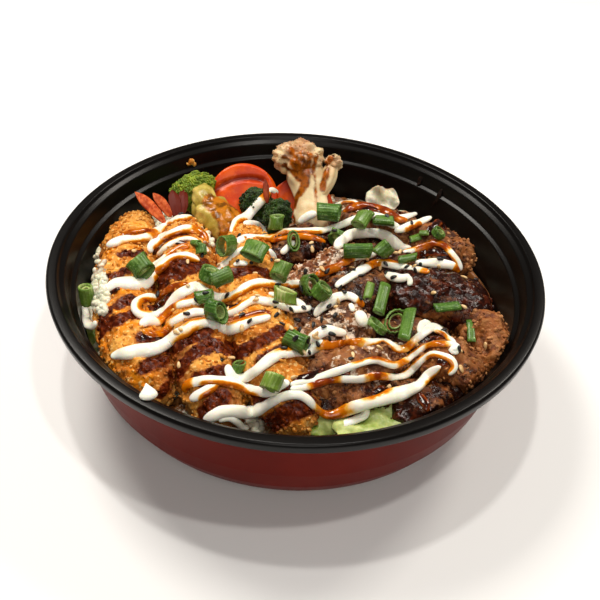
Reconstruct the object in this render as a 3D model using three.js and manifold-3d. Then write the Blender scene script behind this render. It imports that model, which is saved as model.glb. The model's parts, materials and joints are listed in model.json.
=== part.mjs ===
// Seafood tempura rice bowl: three breaded prawns and a dozen pieces of battered seafood on
// rice, with vegetables, lettuce, spring onion and ribbons of mayonnaise, in a takeaway bowl.
// Millimetres, +Z up. The origin is the middle of the bowl's foot, on the surface it stands on.
// -Y is the side that faces the eater.

import * as THREE from 'three';
import { mergeVertices } from 'three/addons/utils/BufferGeometryUtils.js';
import Module from 'manifold-3d';

const wasm = await Module();
wasm.setup();

// ---- Driving dimensions ---------------------------------------------------------------

const RIM_RADIUS = 110;          // outside of the rolled lip
const BOWL_HEIGHT = 60;
const LIP_WIDTH = 4.5;           // flat top of the lip
const SKIRT_DEPTH = 4.5;         // how far the lip's outer edge hangs down
const SHOULDER_RADIUS = 98.8;    // ledge inside the wall that a lid would sit on
const SHOULDER_DEPTH = 10.4;     // that ledge's depth under the lip
const FOOT_RADIUS = 70;
const FOOT_RECESS = 1;           // hollow under the base, inside the foot ring
const FLOOR = 2.2;               // height of the bowl's inner floor
const BOWL_SIDES = 36;

const GAP = 0.4;                 // clear space kept between pieces that touch
const TRUE_TO = 0.18;            // how far a cut face may stray where its triangles are merged
const PRAWN_RADIUS = 13.6;
const TAIL_FIN = [17, 8, 1.6];   // length, width and thickness of one tail fin
const RICE_LEVEL = 36;           // rice bed between the toppings
const GRAIN = [6.4, 1.25];       // length and radius of a cooked grain
const CARROT_RADIUS = 18;
const CARROT_THICKNESS = 6;
const ONION_WALL = 0.8;
const MAYO_WIDTH = 4.2;
const MAYO_HEIGHT = 1.9;         // how far a ribbon stands above the food

// Inside of the wall, from the floor's middle up to the shoulder (radius, height).
const INNER_WALL = [
  [0, FLOOR], [76, FLOOR + 0.6], [84, 5.2], [90, 10], [94.6, 18.5], [97.2, 30],
  [SHOULDER_RADIUS, BOWL_HEIGHT - SHOULDER_DEPTH],
];

// ---- Colours --------------------------------------------------------------------------

const COLOURS = {
  bowl: [0x161516, 0.3],
  rice: [0xe9e6d8, 0.55],
  lettuce: [0x9dbb5a, 0.5],
  crumb: [0xc4772c, 0.75],
  batter: [0x5e3420, 0.5],
  broccoli: [0x4f7f2c, 0.7],
  cauliflower: [0xe2cfae, 0.6],
  carrot: [0xe2501a, 0.4],
  cabbage: [0xdfe0cc, 0.45],
  onion: [0x2f7a2c, 0.35],
};

// ---- Shape helpers --------------------------------------------------------------------

const vector = (point) => new THREE.Vector3(...point);

// Smooth bumps of one size over a point in space, from -1 to 1.
function bumps(p, size, seed) {
  const k = (2 * Math.PI) / size;
  const a = Math.sin(k * (p.x + 0.31 * p.y) + 1.7 * seed);
  const b = Math.cos(k * (p.y - 0.27 * p.z) + 2.9 * seed);
  const c = Math.sin(k * (p.z + 0.41 * p.x - 0.2 * p.y) + 4.1 * seed);
  return (a * b + c) / 2;
}

// Moves each vertex of a geometry to where place(vertex) says.
function reshape(geometry, place) {
  const at = geometry.attributes.position;
  const vertex = new THREE.Vector3();
  for (let i = 0; i < at.count; i += 1) {
    vertex.fromBufferAttribute(at, i);
    const moved = place(vertex.clone());
    at.setXYZ(i, moved.x, moved.y, moved.z);
  }
  return geometry;
}

// Closed mesh with shared vertices and no empty triangles.
function weld(geometry) {
  const bare = new THREE.BufferGeometry();
  bare.setAttribute('position', geometry.attributes.position.clone());
  if (geometry.index) bare.setIndex(geometry.index.clone());
  const merged = mergeVertices(bare, 1e-3);
  const faces = merged.index.array;
  const kept = [];
  for (let i = 0; i < faces.length; i += 3) {
    const [a, b, c] = [faces[i], faces[i + 1], faces[i + 2]];
    if (a !== b && b !== c && c !== a) kept.push(a, b, c);
  }
  merged.setIndex(kept);
  return merged;
}

function toSolid(geometry) {
  const merged = weld(geometry);
  return new wasm.Manifold(new wasm.Mesh({
    numProp: 3,
    vertProperties: merged.attributes.position.array,
    triVerts: Uint32Array.from(merged.index.array),
  }));
}

function toGeometry(solid) {
  const mesh = solid.getMesh();
  const geometry = new THREE.BufferGeometry();
  geometry.setAttribute('position', new THREE.BufferAttribute(mesh.vertProperties, 3));
  geometry.setIndex(Array.from(mesh.triVerts));
  return geometry;
}

// The same solid with its skin moved outwards, which leaves that gap round it in what it cuts.
function grown(solid, distance) {
  const geometry = toGeometry(solid);
  geometry.computeVertexNormals();
  const at = geometry.attributes.position;
  const normal = geometry.attributes.normal;
  for (let i = 0; i < at.count; i += 1) {
    at.setXYZ(
      i,
      at.getX(i) + distance * normal.getX(i),
      at.getY(i) + distance * normal.getY(i),
      at.getZ(i) + distance * normal.getZ(i),
    );
  }
  return toSolid(geometry);
}

// The largest body of a solid: crumbs that a cut leaves loose are dropped.
function largest(solid) {
  const bodies = solid.decompose();
  bodies.sort((a, b) => b.volume() - a.volume());
  return bodies[0];
}

// A ball stretched along a route: blunt ends, lumpy skin, width and height of its own.
// swell(t) scales the section along the way; crags is the height of the relief.
function loaf({
  route, width, height, sides = 9, rings = 8, crags = 0, cragSize = 9, seed = 1,
  fullness = 3, swell = () => 1,
}) {
  const curve = new THREE.CatmullRomCurve3(route.map(vector));
  const up = new THREE.Vector3(0, 0, 1);
  const ball = new THREE.SphereGeometry(1, sides, rings);
  return reshape(ball, (unit) => {
    const polar = Math.acos(THREE.MathUtils.clamp(unit.y, -1, 1)) / Math.PI;
    const t = 0.55 * polar + 0.225 * (1 - Math.cos(Math.PI * polar));
    const section = Math.sqrt(Math.max(0, 1 - Math.abs(2 * t - 1) ** fullness)) * swell(t);
    const angle = Math.atan2(unit.z, unit.x);
    const along = curve.getTangentAt(t);
    const across = new THREE.Vector3().crossVectors(along, up).normalize();
    const out = new THREE.Vector3().crossVectors(across, along);
    const offset = across.multiplyScalar(Math.cos(angle) * width * section)
      .add(out.multiplyScalar(-Math.sin(angle) * height * section));
    const point = curve.getPointAt(t).add(offset);
    const relief = crags * (bumps(point, cragSize, seed) + bumps(point, 2.3 * cragSize, seed + 5));
    return point.addScaledVector(offset.normalize(), relief * Math.min(1, 2 * section));
  });
}

// A dome of florets: a flattened ball with knobs of one size, turned to face a direction.
function florets({ centre, facing, radius, depth, knob, relief, seed, sides = 14, rings = 8 }) {
  const turn = new THREE.Quaternion().setFromUnitVectors(
    new THREE.Vector3(0, 1, 0),
    vector(facing).normalize(),
  );
  return reshape(new THREE.SphereGeometry(1, sides, rings), (unit) => {
    const skin = 1 + (relief / radius) * bumps(unit.clone().multiplyScalar(radius), knob, seed);
    unit.multiply(new THREE.Vector3(radius * skin, depth * skin, radius * skin));
    return unit.applyQuaternion(turn).add(vector(centre));
  });
}

// A thin wavy leaf: both faces are split into triangles alike, and a narrow edge joins them.
// spread moves its whole skin outwards.
function leaf({
  centre, size, yaw, tilt, wave, waveSize, thickness, seed, cells = [8, 5], spread = 0,
}) {
  const [nx, ny] = cells;
  const sheet = new THREE.PlaneGeometry(size[0], size[1], nx, ny);
  const place = new THREE.Matrix4().compose(
    vector(centre),
    new THREE.Quaternion().setFromEuler(new THREE.Euler(tilt, 0, yaw, 'ZXY')),
    new THREE.Vector3(1, 1, 1),
  );
  reshape(sheet, (p) => {
    const edge = Math.min(1, Math.hypot(p.x / (0.5 * size[0]), p.y / (0.5 * size[1])));
    const rounded = 1 - 0.18 * edge ** 4;
    const rim = new THREE.Vector3(
      Math.abs(p.x) > 0.499 * size[0] ? Math.sign(p.x) * spread : 0,
      Math.abs(p.y) > 0.499 * size[1] ? Math.sign(p.y) * spread : 0,
      0,
    );
    p.multiplyScalar(rounded);
    p.z = wave * (0.45 + edge) * bumps(p, waveSize, seed);
    return p.add(rim);
  });
  sheet.computeVertexNormals();
  const top = sheet.attributes.position;
  const normal = sheet.attributes.normal;
  const count = top.count;
  const points = [];
  for (const side of [0.5, -0.5]) {
    for (let i = 0; i < count; i += 1) {
      const p = new THREE.Vector3().fromBufferAttribute(top, i);
      const lift = new THREE.Vector3().fromBufferAttribute(normal, i);
      p.addScaledVector(lift, side * (thickness + 2 * spread));
      points.push(...p.applyMatrix4(place).toArray());
    }
  }
  const faces = [];
  const upper = sheet.index.array;
  for (let i = 0; i < upper.length; i += 3) {
    faces.push(upper[i], upper[i + 1], upper[i + 2]);
    faces.push(count + upper[i], count + upper[i + 2], count + upper[i + 1]);
  }
  const outline = [];
  for (let i = 0; i < nx; i += 1) outline.push(i);
  for (let j = 0; j < ny; j += 1) outline.push(j * (nx + 1) + nx);
  for (let i = nx; i > 0; i -= 1) outline.push(ny * (nx + 1) + i);
  for (let j = ny; j > 0; j -= 1) outline.push(j * (nx + 1));
  outline.forEach((a, i) => {
    const b = outline[(i + 1) % outline.length];
    faces.push(a, b, count + b, a, count + b, count + a);
  });
  const geometry = new THREE.BufferGeometry();
  geometry.setAttribute('position', new THREE.Float32BufferAttribute(points, 3));
  geometry.setIndex(faces);
  return geometry;
}

// ---- The bowl -------------------------------------------------------------------------

function lathe(profile, sides = BOWL_SIDES) {
  const points = profile.map(([r, z]) => new THREE.Vector2(r, z));
  return new THREE.LatheGeometry(points, sides).rotateX(Math.PI / 2);
}

function bowlBody() {
  const skirt = BOWL_HEIGHT - SKIRT_DEPTH;
  const shoulder = BOWL_HEIGHT - SHOULDER_DEPTH;
  const foot = [[0, FOOT_RECESS], [60, FOOT_RECESS], [62, 0], [FOOT_RADIUS, 0]];
  const outerWall = [[79, 1.2], [87, 4.2], [92.4, 9], [96.7, 17.5], [99.2, 28], [100.4, 45]];
  const outerShoulder = [[102.4, shoulder + 0.4], [103.6, skirt]];
  const lip = [
    [RIM_RADIUS - 0.4, skirt], [RIM_RADIUS, BOWL_HEIGHT - 1], [RIM_RADIUS - 0.9, BOWL_HEIGHT],
    [RIM_RADIUS - LIP_WIDTH, BOWL_HEIGHT], [RIM_RADIUS - LIP_WIDTH - 0.9, BOWL_HEIGHT - 1.6],
    [102.4, BOWL_HEIGHT - 3.2],
  ];
  const innerShoulder = [[100.9, shoulder + 1.2]];
  const inside = [...INNER_WALL].reverse();
  return lathe([...foot, ...outerWall, ...outerShoulder, ...lip, ...innerShoulder, ...inside]);
}

// The room inside the wall, a gap smaller all round and open well above the lip.
function roomInside() {
  const wall = INNER_WALL.map(([r, z]) => [Math.max(0, r - GAP), z + GAP]);
  const throat = [[SHOULDER_RADIUS - GAP, BOWL_HEIGHT + 40], [0, BOWL_HEIGHT + 40]];
  return toSolid(lathe([...wall, ...throat]));
}

// ---- Prawns ---------------------------------------------------------------------------

const PRAWNS = [
  {
    name: 'prawn_3', route: [[-27, 33, 45], [-20, -18, 48], [-9, -56, 48], [7, -90, 43]],
    width: PRAWN_RADIUS + 0.4, seed: 3,
    fins: [{ root: [-22, 25, 52], lean: 0.6, yaw: 1.5 }],
  },
  {
    name: 'prawn_2', route: [[-59, 40, 43], [-50, -5, 46], [-38, -50, 46], [-22, -91, 42]],
    width: PRAWN_RADIUS, seed: 2,
    fins: [
      { root: [-60, 33, 49], lean: 0.3, yaw: 1.75 },
      { root: [-57, 33, 50], lean: 0.35, yaw: 1.35 },
    ],
  },
  {
    name: 'prawn_1', route: [[-81, 40, 44], [-78, -5, 45], [-69, -42, 45], [-49, -81, 42]],
    width: PRAWN_RADIUS - 0.4, seed: 1,
    fins: [
      { root: [-78, 28, 51], lean: 0.3, yaw: 1.9 },
      { root: [-75, 27, 51], lean: 0.35, yaw: 1.3 },
    ],
  },
];

function tailFin({ root, lean, yaw }) {
  const [length, width, thickness] = TAIL_FIN;
  const outline = new THREE.Shape();
  outline.moveTo(0, -0.2 * width);
  outline.quadraticCurveTo(0.6 * length, -0.75 * width, length, 0);
  outline.quadraticCurveTo(0.6 * length, 0.75 * width, 0, 0.2 * width);
  outline.closePath();
  const fin = new THREE.ExtrudeGeometry(outline, {
    depth: thickness, bevelEnabled: false, curveSegments: 4,
  });
  fin.translate(0, 0, -thickness / 2).rotateY(-lean).rotateZ(yaw);
  return fin.translate(...root);
}

function prawn({ route, width, seed, fins }) {
  const body = toSolid(loaf({
    route, width, height: 0.97 * width, sides: 11, rings: 12, crags: 0.7, cragSize: 8, seed,
    fullness: 5, swell: (t) => 0.8 + 0.2 * Math.min(1, 4 * t),
  }));
  return fins.reduce((whole, fin) => whole.add(toSolid(tailFin(fin))), body);
}

// ---- Battered seafood -----------------------------------------------------------------

// Each piece by its route from tip to tip, half its width and half its height, from the
// uppermost piece down.
const FRIED = [
  { route: [[39, -16, 49], [60, -17, 54], [86, -24, 49]], width: 14, height: 9.5 },
  { route: [[4, -51, 49], [18, -45, 53], [32, -36, 50]], width: 9, height: 8.5 },
  { route: [[-4, -17, 49], [12, -4, 53], [33, 15, 51]], width: 7.5, height: 7 },
  { route: [[1, -74, 47], [22, -64, 51], [47, -53, 50]], width: 9.5, height: 8.5 },
  { route: [[49, -50, 46], [66, -59, 51], [76, -68, 45]], width: 10, height: 9 },
  { route: [[70, -26, 45], [82, -37, 48], [84, -54, 44]], width: 10, height: 10 },
  { route: [[14, 29, 48], [35, 39, 51], [58, 29, 49]], width: 10, height: 8.5 },
  { route: [[47, 29, 45], [63, 31, 48], [81, 13, 44]], width: 12, height: 9 },
  { route: [[-2, -40, 44], [20, -21, 49], [46, -4, 48]], width: 13, height: 9.5 },
  { route: [[-15, 3, 44], [-1, 18, 47], [17, 30, 45]], width: 11, height: 8.5 },
  { route: [[6, -77, 40], [26, -71, 44], [50, -63, 44]], width: 8, height: 8 },
  { route: [[39, -80, 39], [54, -73, 43], [74, -60, 43]], width: 11, height: 9 },
  { route: [[20, 12, 43], [45, 8, 46], [74, -6, 42]], width: 13, height: 8 },
  { route: [[24, -46, 41], [42, -38, 45], [67, -40, 43]], width: 13, height: 8 },
];

function friedPiece({ route, width, height }, index) {
  return toSolid(loaf({
    route, width, height, crags: 1.1, cragSize: 10, seed: index + 11,
    swell: (t) => 1 + 0.12 * Math.sin(9 * t + index),
  }));
}

// ---- Vegetables -----------------------------------------------------------------------

function cauliflower() {
  const stem = loaf({
    route: [[6, 46, 37], [4, 62, 49], [-2, 78, 61]], width: 10.5, height: 7, rings: 8,
    swell: (t) => 1.12 - 0.35 * Math.sin(Math.PI * t) ** 2 + 0.2 * t ** 2,
  });
  const branch = loaf({
    route: [[5, 60, 46], [12, 69, 56], [15, 76, 62]], width: 4.5, height: 4, sides: 8, rings: 5,
  });
  const crown = florets({
    centre: [-4, 80, 62], facing: [-0.1, 0.4, 1], radius: 13.5, depth: 9, knob: 8, relief: 1.6,
    seed: 4,
  });
  const sideCrown = florets({
    centre: [15, 76, 62], facing: [0.4, 0.3, 1], radius: 4.6, depth: 4, knob: 5, relief: 0.8,
    seed: 6, sides: 8, rings: 6,
  });
  return [branch, crown, sideCrown].reduce((a, b) => a.add(toSolid(b)), toSolid(stem));
}

function broccoli() {
  const stem = loaf({
    route: [[-30, 27, 42], [-40, 36, 49], [-53, 52, 48]], width: 8.5, height: 7, rings: 8,
    crags: 0.6, cragSize: 9, seed: 2,
  });
  const arm = loaf({
    route: [[-42, 37, 47], [-49, 46, 54], [-53, 57, 54]], width: 5, height: 4.5, sides: 8, rings: 6,
  });
  const crown = florets({
    centre: [-57, 60, 47], facing: [-0.6, 0.7, 0.6], radius: 12.5, depth: 9, knob: 6, relief: 1.4,
    seed: 8,
  });
  return [arm, crown].reduce((a, b) => a.add(toSolid(b)), toSolid(stem));
}

const SPRIGS = [
  {
    crown: { centre: [-24, 55, 47], facing: [-0.2, 0.3, 1], radius: 8, depth: 7, seed: 9 },
    stem: [[-24, 53, 44], [-22, 49, 39], [-20, 46, 37]],
  },
  {
    crown: { centre: [-12, 42, 49], facing: [0.2, -0.2, 1], radius: 6.5, depth: 9.5, seed: 12 },
    stem: [[-12, 41, 45], [-14, 38, 40], [-15, 36, 38]],
  },
];

// A short dark sprig: a crown of its own on a stub of stem.
function sprig({ crown, stem }) {
  const head = florets({ knob: 5, relief: 1.2, sides: 12, rings: 7, ...crown });
  const stub = loaf({ route: stem, width: 4, height: 4, sides: 8, rings: 5 });
  return toSolid(head).add(toSolid(stub));
}

function carrotSlice(centre, tilt, yaw) {
  const [r, h] = [CARROT_RADIUS, CARROT_THICKNESS / 2];
  const profile = [[0, -h], [r - 1.5, -h], [r, -h + 1.5], [r, h - 1.5], [r - 1.5, h], [0, h]];
  const points = profile.map(([x, y]) => new THREE.Vector2(x, y));
  const slice = new THREE.LatheGeometry(points, 18).rotateX(Math.PI / 2);
  return toSolid(slice.rotateX(tilt).rotateZ(yaw).translate(...centre));
}

// ---- Rice -----------------------------------------------------------------------------

const between = (value, low, high) => THREE.MathUtils.smoothstep(value, low, high);

// Height of the rice bed: high by the left wall, low where the wall shows at the right and back.
function riceHeight(x, y) {
  const left = -3 * between(-x, 82, 96);
  const right = -12 * between(x, 62, 88) * between(y, -60, -20);
  const back = -7 * between(y, 55, 85);
  const mound = 6 * Math.exp(-((x - 40) ** 2 + (y - 56) ** 2) / 220);
  return RICE_LEVEL + left + right + back + mound + 0.7 * bumps(new THREE.Vector3(x, y, 0), 9, 1);
}

function riceBed() {
  const rings = 6;
  const corners = [INNER_WALL[0], INNER_WALL[2], INNER_WALL[4], INNER_WALL[5]];
  const wall = corners.map(([r, z]) => [Math.max(0, r - GAP), z + GAP]);
  const brimRadius = wall[wall.length - 1][0];
  const top = Array.from({ length: rings }, (_, i) => [brimRadius * (1 - (i + 1) / rings), 50]);
  const filled = lathe([...wall, [brimRadius, RICE_LEVEL], ...top], BOWL_SIDES / 2);
  return toSolid(reshape(filled, (p) => {
    if (p.z > RICE_LEVEL - 1) p.z = riceHeight(p.x, p.y);
    return p;
  }));
}

// ---- Putting it together --------------------------------------------------------------

const room = roomInside();
const pieces = [];               // { name, colour, solid, skin } from the uppermost down

// Adds a piece, cut back where it would cross those already placed.
function add(name, colour, solid, { trim = true, skin = null } = {}) {
  let body = trim ? solid.intersect(room) : solid;
  for (const other of pieces) body = body.subtract(other.skin);
  body = largest(body.simplify(TRUE_TO));
  pieces.push({ name, colour, solid: body, skin: skin ?? grown(body, GAP) });
}

PRAWNS.forEach((spec) => add(spec.name, 'crumb', prawn(spec)));
FRIED.forEach((spec, i) => add(`fried_${i + 1}`, 'batter', friedPiece(spec, i)));
add('cauliflower', 'cauliflower', cauliflower());
SPRIGS.forEach((spec, i) => add(`broccoli_small_${i + 1}`, 'broccoli', sprig(spec)));
add('broccoli_large', 'broccoli', broccoli());
add('carrot_1', 'carrot', carrotSlice([-31, 60, 44], 0.8, 0.1));
add('carrot_2', 'carrot', carrotSlice([-1, 66, 37], 0.85, -0.1));

const LEAVES = [
  {
    name: 'cabbage_1', colour: 'cabbage', centre: [42, 66, 48], size: [17, 13], yaw: 0.3,
    tilt: 0.7, wave: 2, waveSize: 14, thickness: 1.6, seed: 1, cells: [5, 4],
  },
  {
    name: 'cabbage_2', colour: 'cabbage', centre: [48, 50, 47], size: [18, 14], yaw: -0.4,
    tilt: 0.3, wave: 1.5, waveSize: 16, thickness: 1.4, seed: 3, cells: [5, 4],
  },
  {
    name: 'lettuce_1', colour: 'lettuce', centre: [34, -81, 43], size: [38, 24], yaw: 0.35,
    tilt: 0.1, wave: 2.2, waveSize: 13, thickness: 1, seed: 2,
  },
  {
    name: 'lettuce_2', colour: 'lettuce', centre: [16, -80, 43], size: [22, 20], yaw: -0.1,
    tilt: 0.5, wave: 2.4, waveSize: 11, thickness: 1, seed: 5,
  },
  {
    name: 'lettuce_3', colour: 'lettuce', centre: [-82, -46, 36], size: [20, 26], yaw: 0.45,
    tilt: 0.2, wave: 2, waveSize: 12, thickness: 1, seed: 7,
  },
];
LEAVES.forEach((spec) => {
  const skin = toSolid(leaf({ ...spec, spread: GAP }));
  add(spec.name, spec.colour, toSolid(leaf(spec)), { skin });
});
add('rice', 'rice', riceBed(), { trim: false });

// ---- Ribbons of mayonnaise ------------------------------------------------------------

// Each ribbon's route as it is laid, seen from above.
const RIBBONS = [
  [[-89, 3], [-75, 6], [-65, 24], [-52, 35]],
  [[-68, 4], [-62, 12], [-54, 16], [-46, 15], [-42, 11]],
  [[-82, -31], [-72, -26], [-64, -14], [-57, -8], [-43, -9]],
  [[-61, -37], [-66, -40], [-61, -45], [-53, -38], [-43, -30], [-30, -31], [-20, -28], [3, -16]],
  [[-60, -55], [-52, -49], [-35, -43], [-25, -39], [-12, -37], [8, -31]],
  [[-72, -63], [-61, -65], [-43, -54], [-35, -49], [-24, -46], [-9, -45]],
  [[-23, -69], [-14, -71], [8, -57], [21, -52], [48, -46], [56, -40], [65, -53]],
  [[1, -79], [11, -73], [25, -69], [40, -62], [50, -54], [66, -54]],
  [[15, -74], [28, -71], [42, -65], [53, -58], [62, -62], [61, -69]],
  [[56, -66], [45, -72], [29, -78], [2, -82], [-8, -82], [-20, -86], [-30, -87]],
  [[-36, -80], [-30, -77], [-20, -75], [-12, -77], [-2, -79]],
  [[-30, 8], [-20, 16], [-8, 26], [6, 30], [20, 31], [34, 36], [48, 28]],
  [[24, 41], [35, 45], [46, 40], [56, 36], [63, 37]],
  [[17, 10], [26, 25], [38, 28], [48, 22]],
  [[52, 20], [62, 20], [70, 17], [77, 8]],
  [[8, -12], [19, -6], [29, 4]],
  [[17, -20], [26, -9], [35, 3], [50, 2]],
  [[9, -36], [15, -30], [22, -25], [30, -28]],
  [[5, -54], [12, -51], [22, -50]],
];
const RIBBON_STEP = 10;          // length between the sections of a ribbon
const RIBBON_CLEAR = 1.4;        // where a ribbon stops short of the next piece

const caster = new THREE.Raycaster();
const meshOf = new Map();        // piece to the mesh that rays are cast on

function meshFor(piece) {
  if (!meshOf.has(piece)) meshOf.set(piece, new THREE.Mesh(toGeometry(piece.solid)));
  return meshOf.get(piece);
}

// The uppermost piece under a place seen from above, and the height of its skin there.
function below(x, y, among) {
  caster.set(new THREE.Vector3(x, y, 120), new THREE.Vector3(0, 0, -1));
  let found = null;
  for (const piece of among) {
    const [hit] = caster.intersectObject(meshFor(piece));
    if (hit && (!found || hit.point.z > found.z)) found = { piece, z: hit.point.z };
  }
  return found;
}

// Splits a ribbon's route into stretches that each lie on one piece.
function stretches(route, among) {
  const curve = new THREE.CatmullRomCurve3(route.map(([x, y]) => new THREE.Vector3(x, y, 0)));
  const length = curve.getLength();
  const runs = [];
  for (let s = 0; s <= length; s += 1) {
    const { x, y } = curve.getPointAt(s / length);
    const hit = below(x, y, among);
    if (hit) {
      const last = runs[runs.length - 1];
      if (last && last.piece === hit.piece) last.points.push([x, y, hit.z]);
      else runs.push({ piece: hit.piece, points: [[x, y, hit.z]] });
    }
  }
  return runs;
}

function ribbonOn({ piece, points }) {
  const margin = Math.ceil(RIBBON_CLEAR);
  const kept = points.slice(margin, points.length - margin);
  if (piece.name === 'rice' || kept.length < 2 * MAYO_WIDTH) return null;
  const count = Math.max(2, Math.round(kept.length / RIBBON_STEP));
  const route = Array.from({ length: count + 1 }, (_, i) => (
    kept[Math.round((i * (kept.length - 1)) / count)]
  ));
  return toSolid(loaf({
    route, width: MAYO_WIDTH / 2, height: MAYO_HEIGHT, sides: 4, rings: count + 2, fullness: 6,
  }));
}

// Joins a small shape to the piece it lies on, cut clear of every other piece.
function fuse(piece, shape, others) {
  let clear = shape;
  for (const other of others) {
    if (other !== piece && other.skin) clear = clear.subtract(other.skin);
  }
  piece.solid = largest(piece.solid.add(clear)).simplify(TRUE_TO);
}

const food = [...pieces];
for (const route of RIBBONS) {
  for (const run of stretches(route, food)) {
    const ribbon = ribbonOn(run);
    if (ribbon) fuse(run.piece, ribbon, food);
  }
}
meshOf.clear();

// ---- Spring onion ---------------------------------------------------------------------

// Each cut piece: where its middle is, the way its axis points (degrees round from +X, then
// up from level), its radius and its length.
const SPRING_ONIONS = [
  [[-67, -22], 140, 30, 4.6, 8], [[-32, -5], -120, 25, 4.4, 7], [[-37, -26], 60, 55, 4.2, 6],
  [[-31, -31], 30, 10, 3.2, 8], [[-37, -39], 10, 10, 3, 7], [[-31, -49], -35, 15, 4.3, 7],
  [[-88.4, -32], 0, 90, 3.2, 8], [[-19, -11], 75, 5, 4.8, 9], [[-12, 25], 80, 60, 4.4, 7],
  [[-3, 10], -70, 40, 4.4, 3], [[13, 32], -8, 5, 4.4, 11], [[29, 27], 60, 20, 4.2, 8],
  [[18, 21], 65, 30, 4.6, 5], [[40, 28], -15, 10, 4, 9], [[26, -2], 8, 0, 3.8, 12],
  [[39, 5], 30, 35, 4.2, 7], [[50, 3], 5, 15, 2.8, 8], [[66, 23], 0, 60, 3.6, 3],
  [[-7, -19], 70, 30, 4.2, 8], [[-4, -37], 90, 60, 4.6, 6], [[6, -24], -60, 40, 4.6, 6],
  [[11, -31], 20, 50, 4.4, 5], [[2, -63], -35, 5, 4, 9], [[-6, -81], 60, 45, 4, 6],
  [[37, -27], 78, 12, 3.6, 16], [[34, -46], 30, 50, 5, 3], [[42, -41], -20, 40, 4.2, 5],
  [[46, -46], 78, 5, 3.4, 17], [[64, -32], 15, 0, 2.2, 11],
];
const ONION_SIDES = 7;

function onionTube([x, y], yaw, tip, radius, length, spread = 0) {
  const [inner, outer] = [radius - ONION_WALL - spread, radius + spread];
  const half = length / 2 + spread;
  const profile = [[inner, -half], [outer, -half], [outer, half], [inner, half], [inner, -half]];
  const points = profile.map(([r, h]) => new THREE.Vector2(r, h));
  const tube = new THREE.LatheGeometry(points, ONION_SIDES).rotateZ(-Math.PI / 2);
  tube.rotateY(-THREE.MathUtils.degToRad(tip)).rotateZ(THREE.MathUtils.degToRad(yaw));
  return toSolid(tube.translate(x, y, 0));
}

function boxesMeet(a, b) {
  return [0, 1, 2].every((i) => a.min[i] < b.max[i] && b.min[i] < a.max[i]);
}

// How far up a shape has to go to lie on what is under it without touching it.
function restingHeight(shape, under) {
  let [low, high] = [RICE_LEVEL - 6, BOWL_HEIGHT + 20];
  while (high - low > 0.1) {
    const middle = (low + high) / 2;
    const trial = shape.translate(0, 0, middle);
    const box = trial.boundingBox();
    const blocked = under.some((piece) => (
      boxesMeet(box, piece.solid.boundingBox()) && trial.intersect(piece.solid).volume() > 1e-6
    ));
    const inWall = trial.subtract(room).volume() > 1e-6;
    if (blocked || inWall) low = middle;
    else high = middle;
  }
  return high;
}

SPRING_ONIONS.forEach((cut, i) => {
  const height = restingHeight(onionTube(...cut, GAP), pieces);
  const solid = onionTube(...cut).translate(0, 0, height);
  const skin = onionTube(...cut, GAP).translate(0, 0, height);
  pieces.push({ name: `spring_onion_${i + 1}`, colour: 'onion', solid, skin });
});

// ---- Sesame and loose rice ------------------------------------------------------------

const SEED = [1.7, 0.95, 0.7];   // half length, width and thickness
const SESAME = { count: 34, centre: [14, -22], reach: [44, 46] };
const LOOSE_RICE = { count: 20, centre: [-88, 4], reach: [7, 26] };

// The same draw every time: the next number of a fixed sequence, from 0 to 1.
function draws(start) {
  let state = start;
  return () => {
    state = (state * 16807) % 2147483647;
    return state / 2147483647;
  };
}

function seedAt(x, y, z, turn) {
  const seed = new THREE.OctahedronGeometry(1, 0).scale(...SEED).rotateZ(turn);
  return toSolid(seed.translate(x, y, z + 0.3));
}

function grainAt(x, y, z, turn) {
  const [length, radius] = GRAIN;
  const half = [Math.cos(turn) * (length / 2), Math.sin(turn) * (length / 2)];
  return toSolid(loaf({
    route: [[x - half[0], y - half[1], z + 0.4], [x + half[0], y + half[1], z + 0.9]],
    width: radius, height: radius, sides: 5, rings: 4,
  }));
}

// Scatters small shapes over an area, leaving out those that would cross another piece.
function scatter({ count, centre, reach }, shapeAt, start, only) {
  const next = draws(start);
  for (let i = 0; i < count; i += 1) {
    const x = centre[0] + reach[0] * (next() + next() - 1);
    const y = centre[1] + reach[1] * (next() + next() - 1);
    const turn = Math.PI * next();
    const hit = below(x, y, pieces);
    if (hit && only(hit.piece.name)) {
      const shape = shapeAt(x, y, hit.z, turn);
      const crosses = pieces.some((piece) => (
        piece !== hit.piece && shape.intersect(piece.skin).volume() > 0
      ));
      const inside = shape.subtract(room).volume() === 0;
      if (!crosses && inside) fuse(hit.piece, shape, []);
    }
  }
}

scatter(SESAME, seedAt, 11, (name) => name.startsWith('fried') || name.startsWith('prawn'));
scatter(LOOSE_RICE, grainAt, 5, (name) => name === 'rice');

// ---- The whole bowl -------------------------------------------------------------------

function toMesh({ name, colour, solid }) {
  const [colourValue, roughness] = COLOURS[colour];
  const material = new THREE.MeshStandardMaterial({ color: colourValue, roughness, metalness: 0 });
  const mesh = new THREE.Mesh(toGeometry(solid), material);
  mesh.name = name;
  return mesh;
}

const riceBowl = new THREE.Group();
pieces.push({ name: 'bowl', colour: 'bowl', solid: toSolid(bowlBody()) });
for (const piece of pieces) riceBowl.add(toMesh(piece));

export default riceBowl;
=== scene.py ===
# Seafood tempura rice bowl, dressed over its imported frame. Metres, +Z up, the eater at -Y.
# Places and sizes in the tables are millimetres. A place on the picture is (across, down) in
# a 600 x 600 view, and lies on whatever food the camera sees there.

import json
import math

import bmesh
import bpy
import numpy as np
from mathutils import Matrix, Vector, noise
from mathutils.bvhtree import BVHTree

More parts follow.
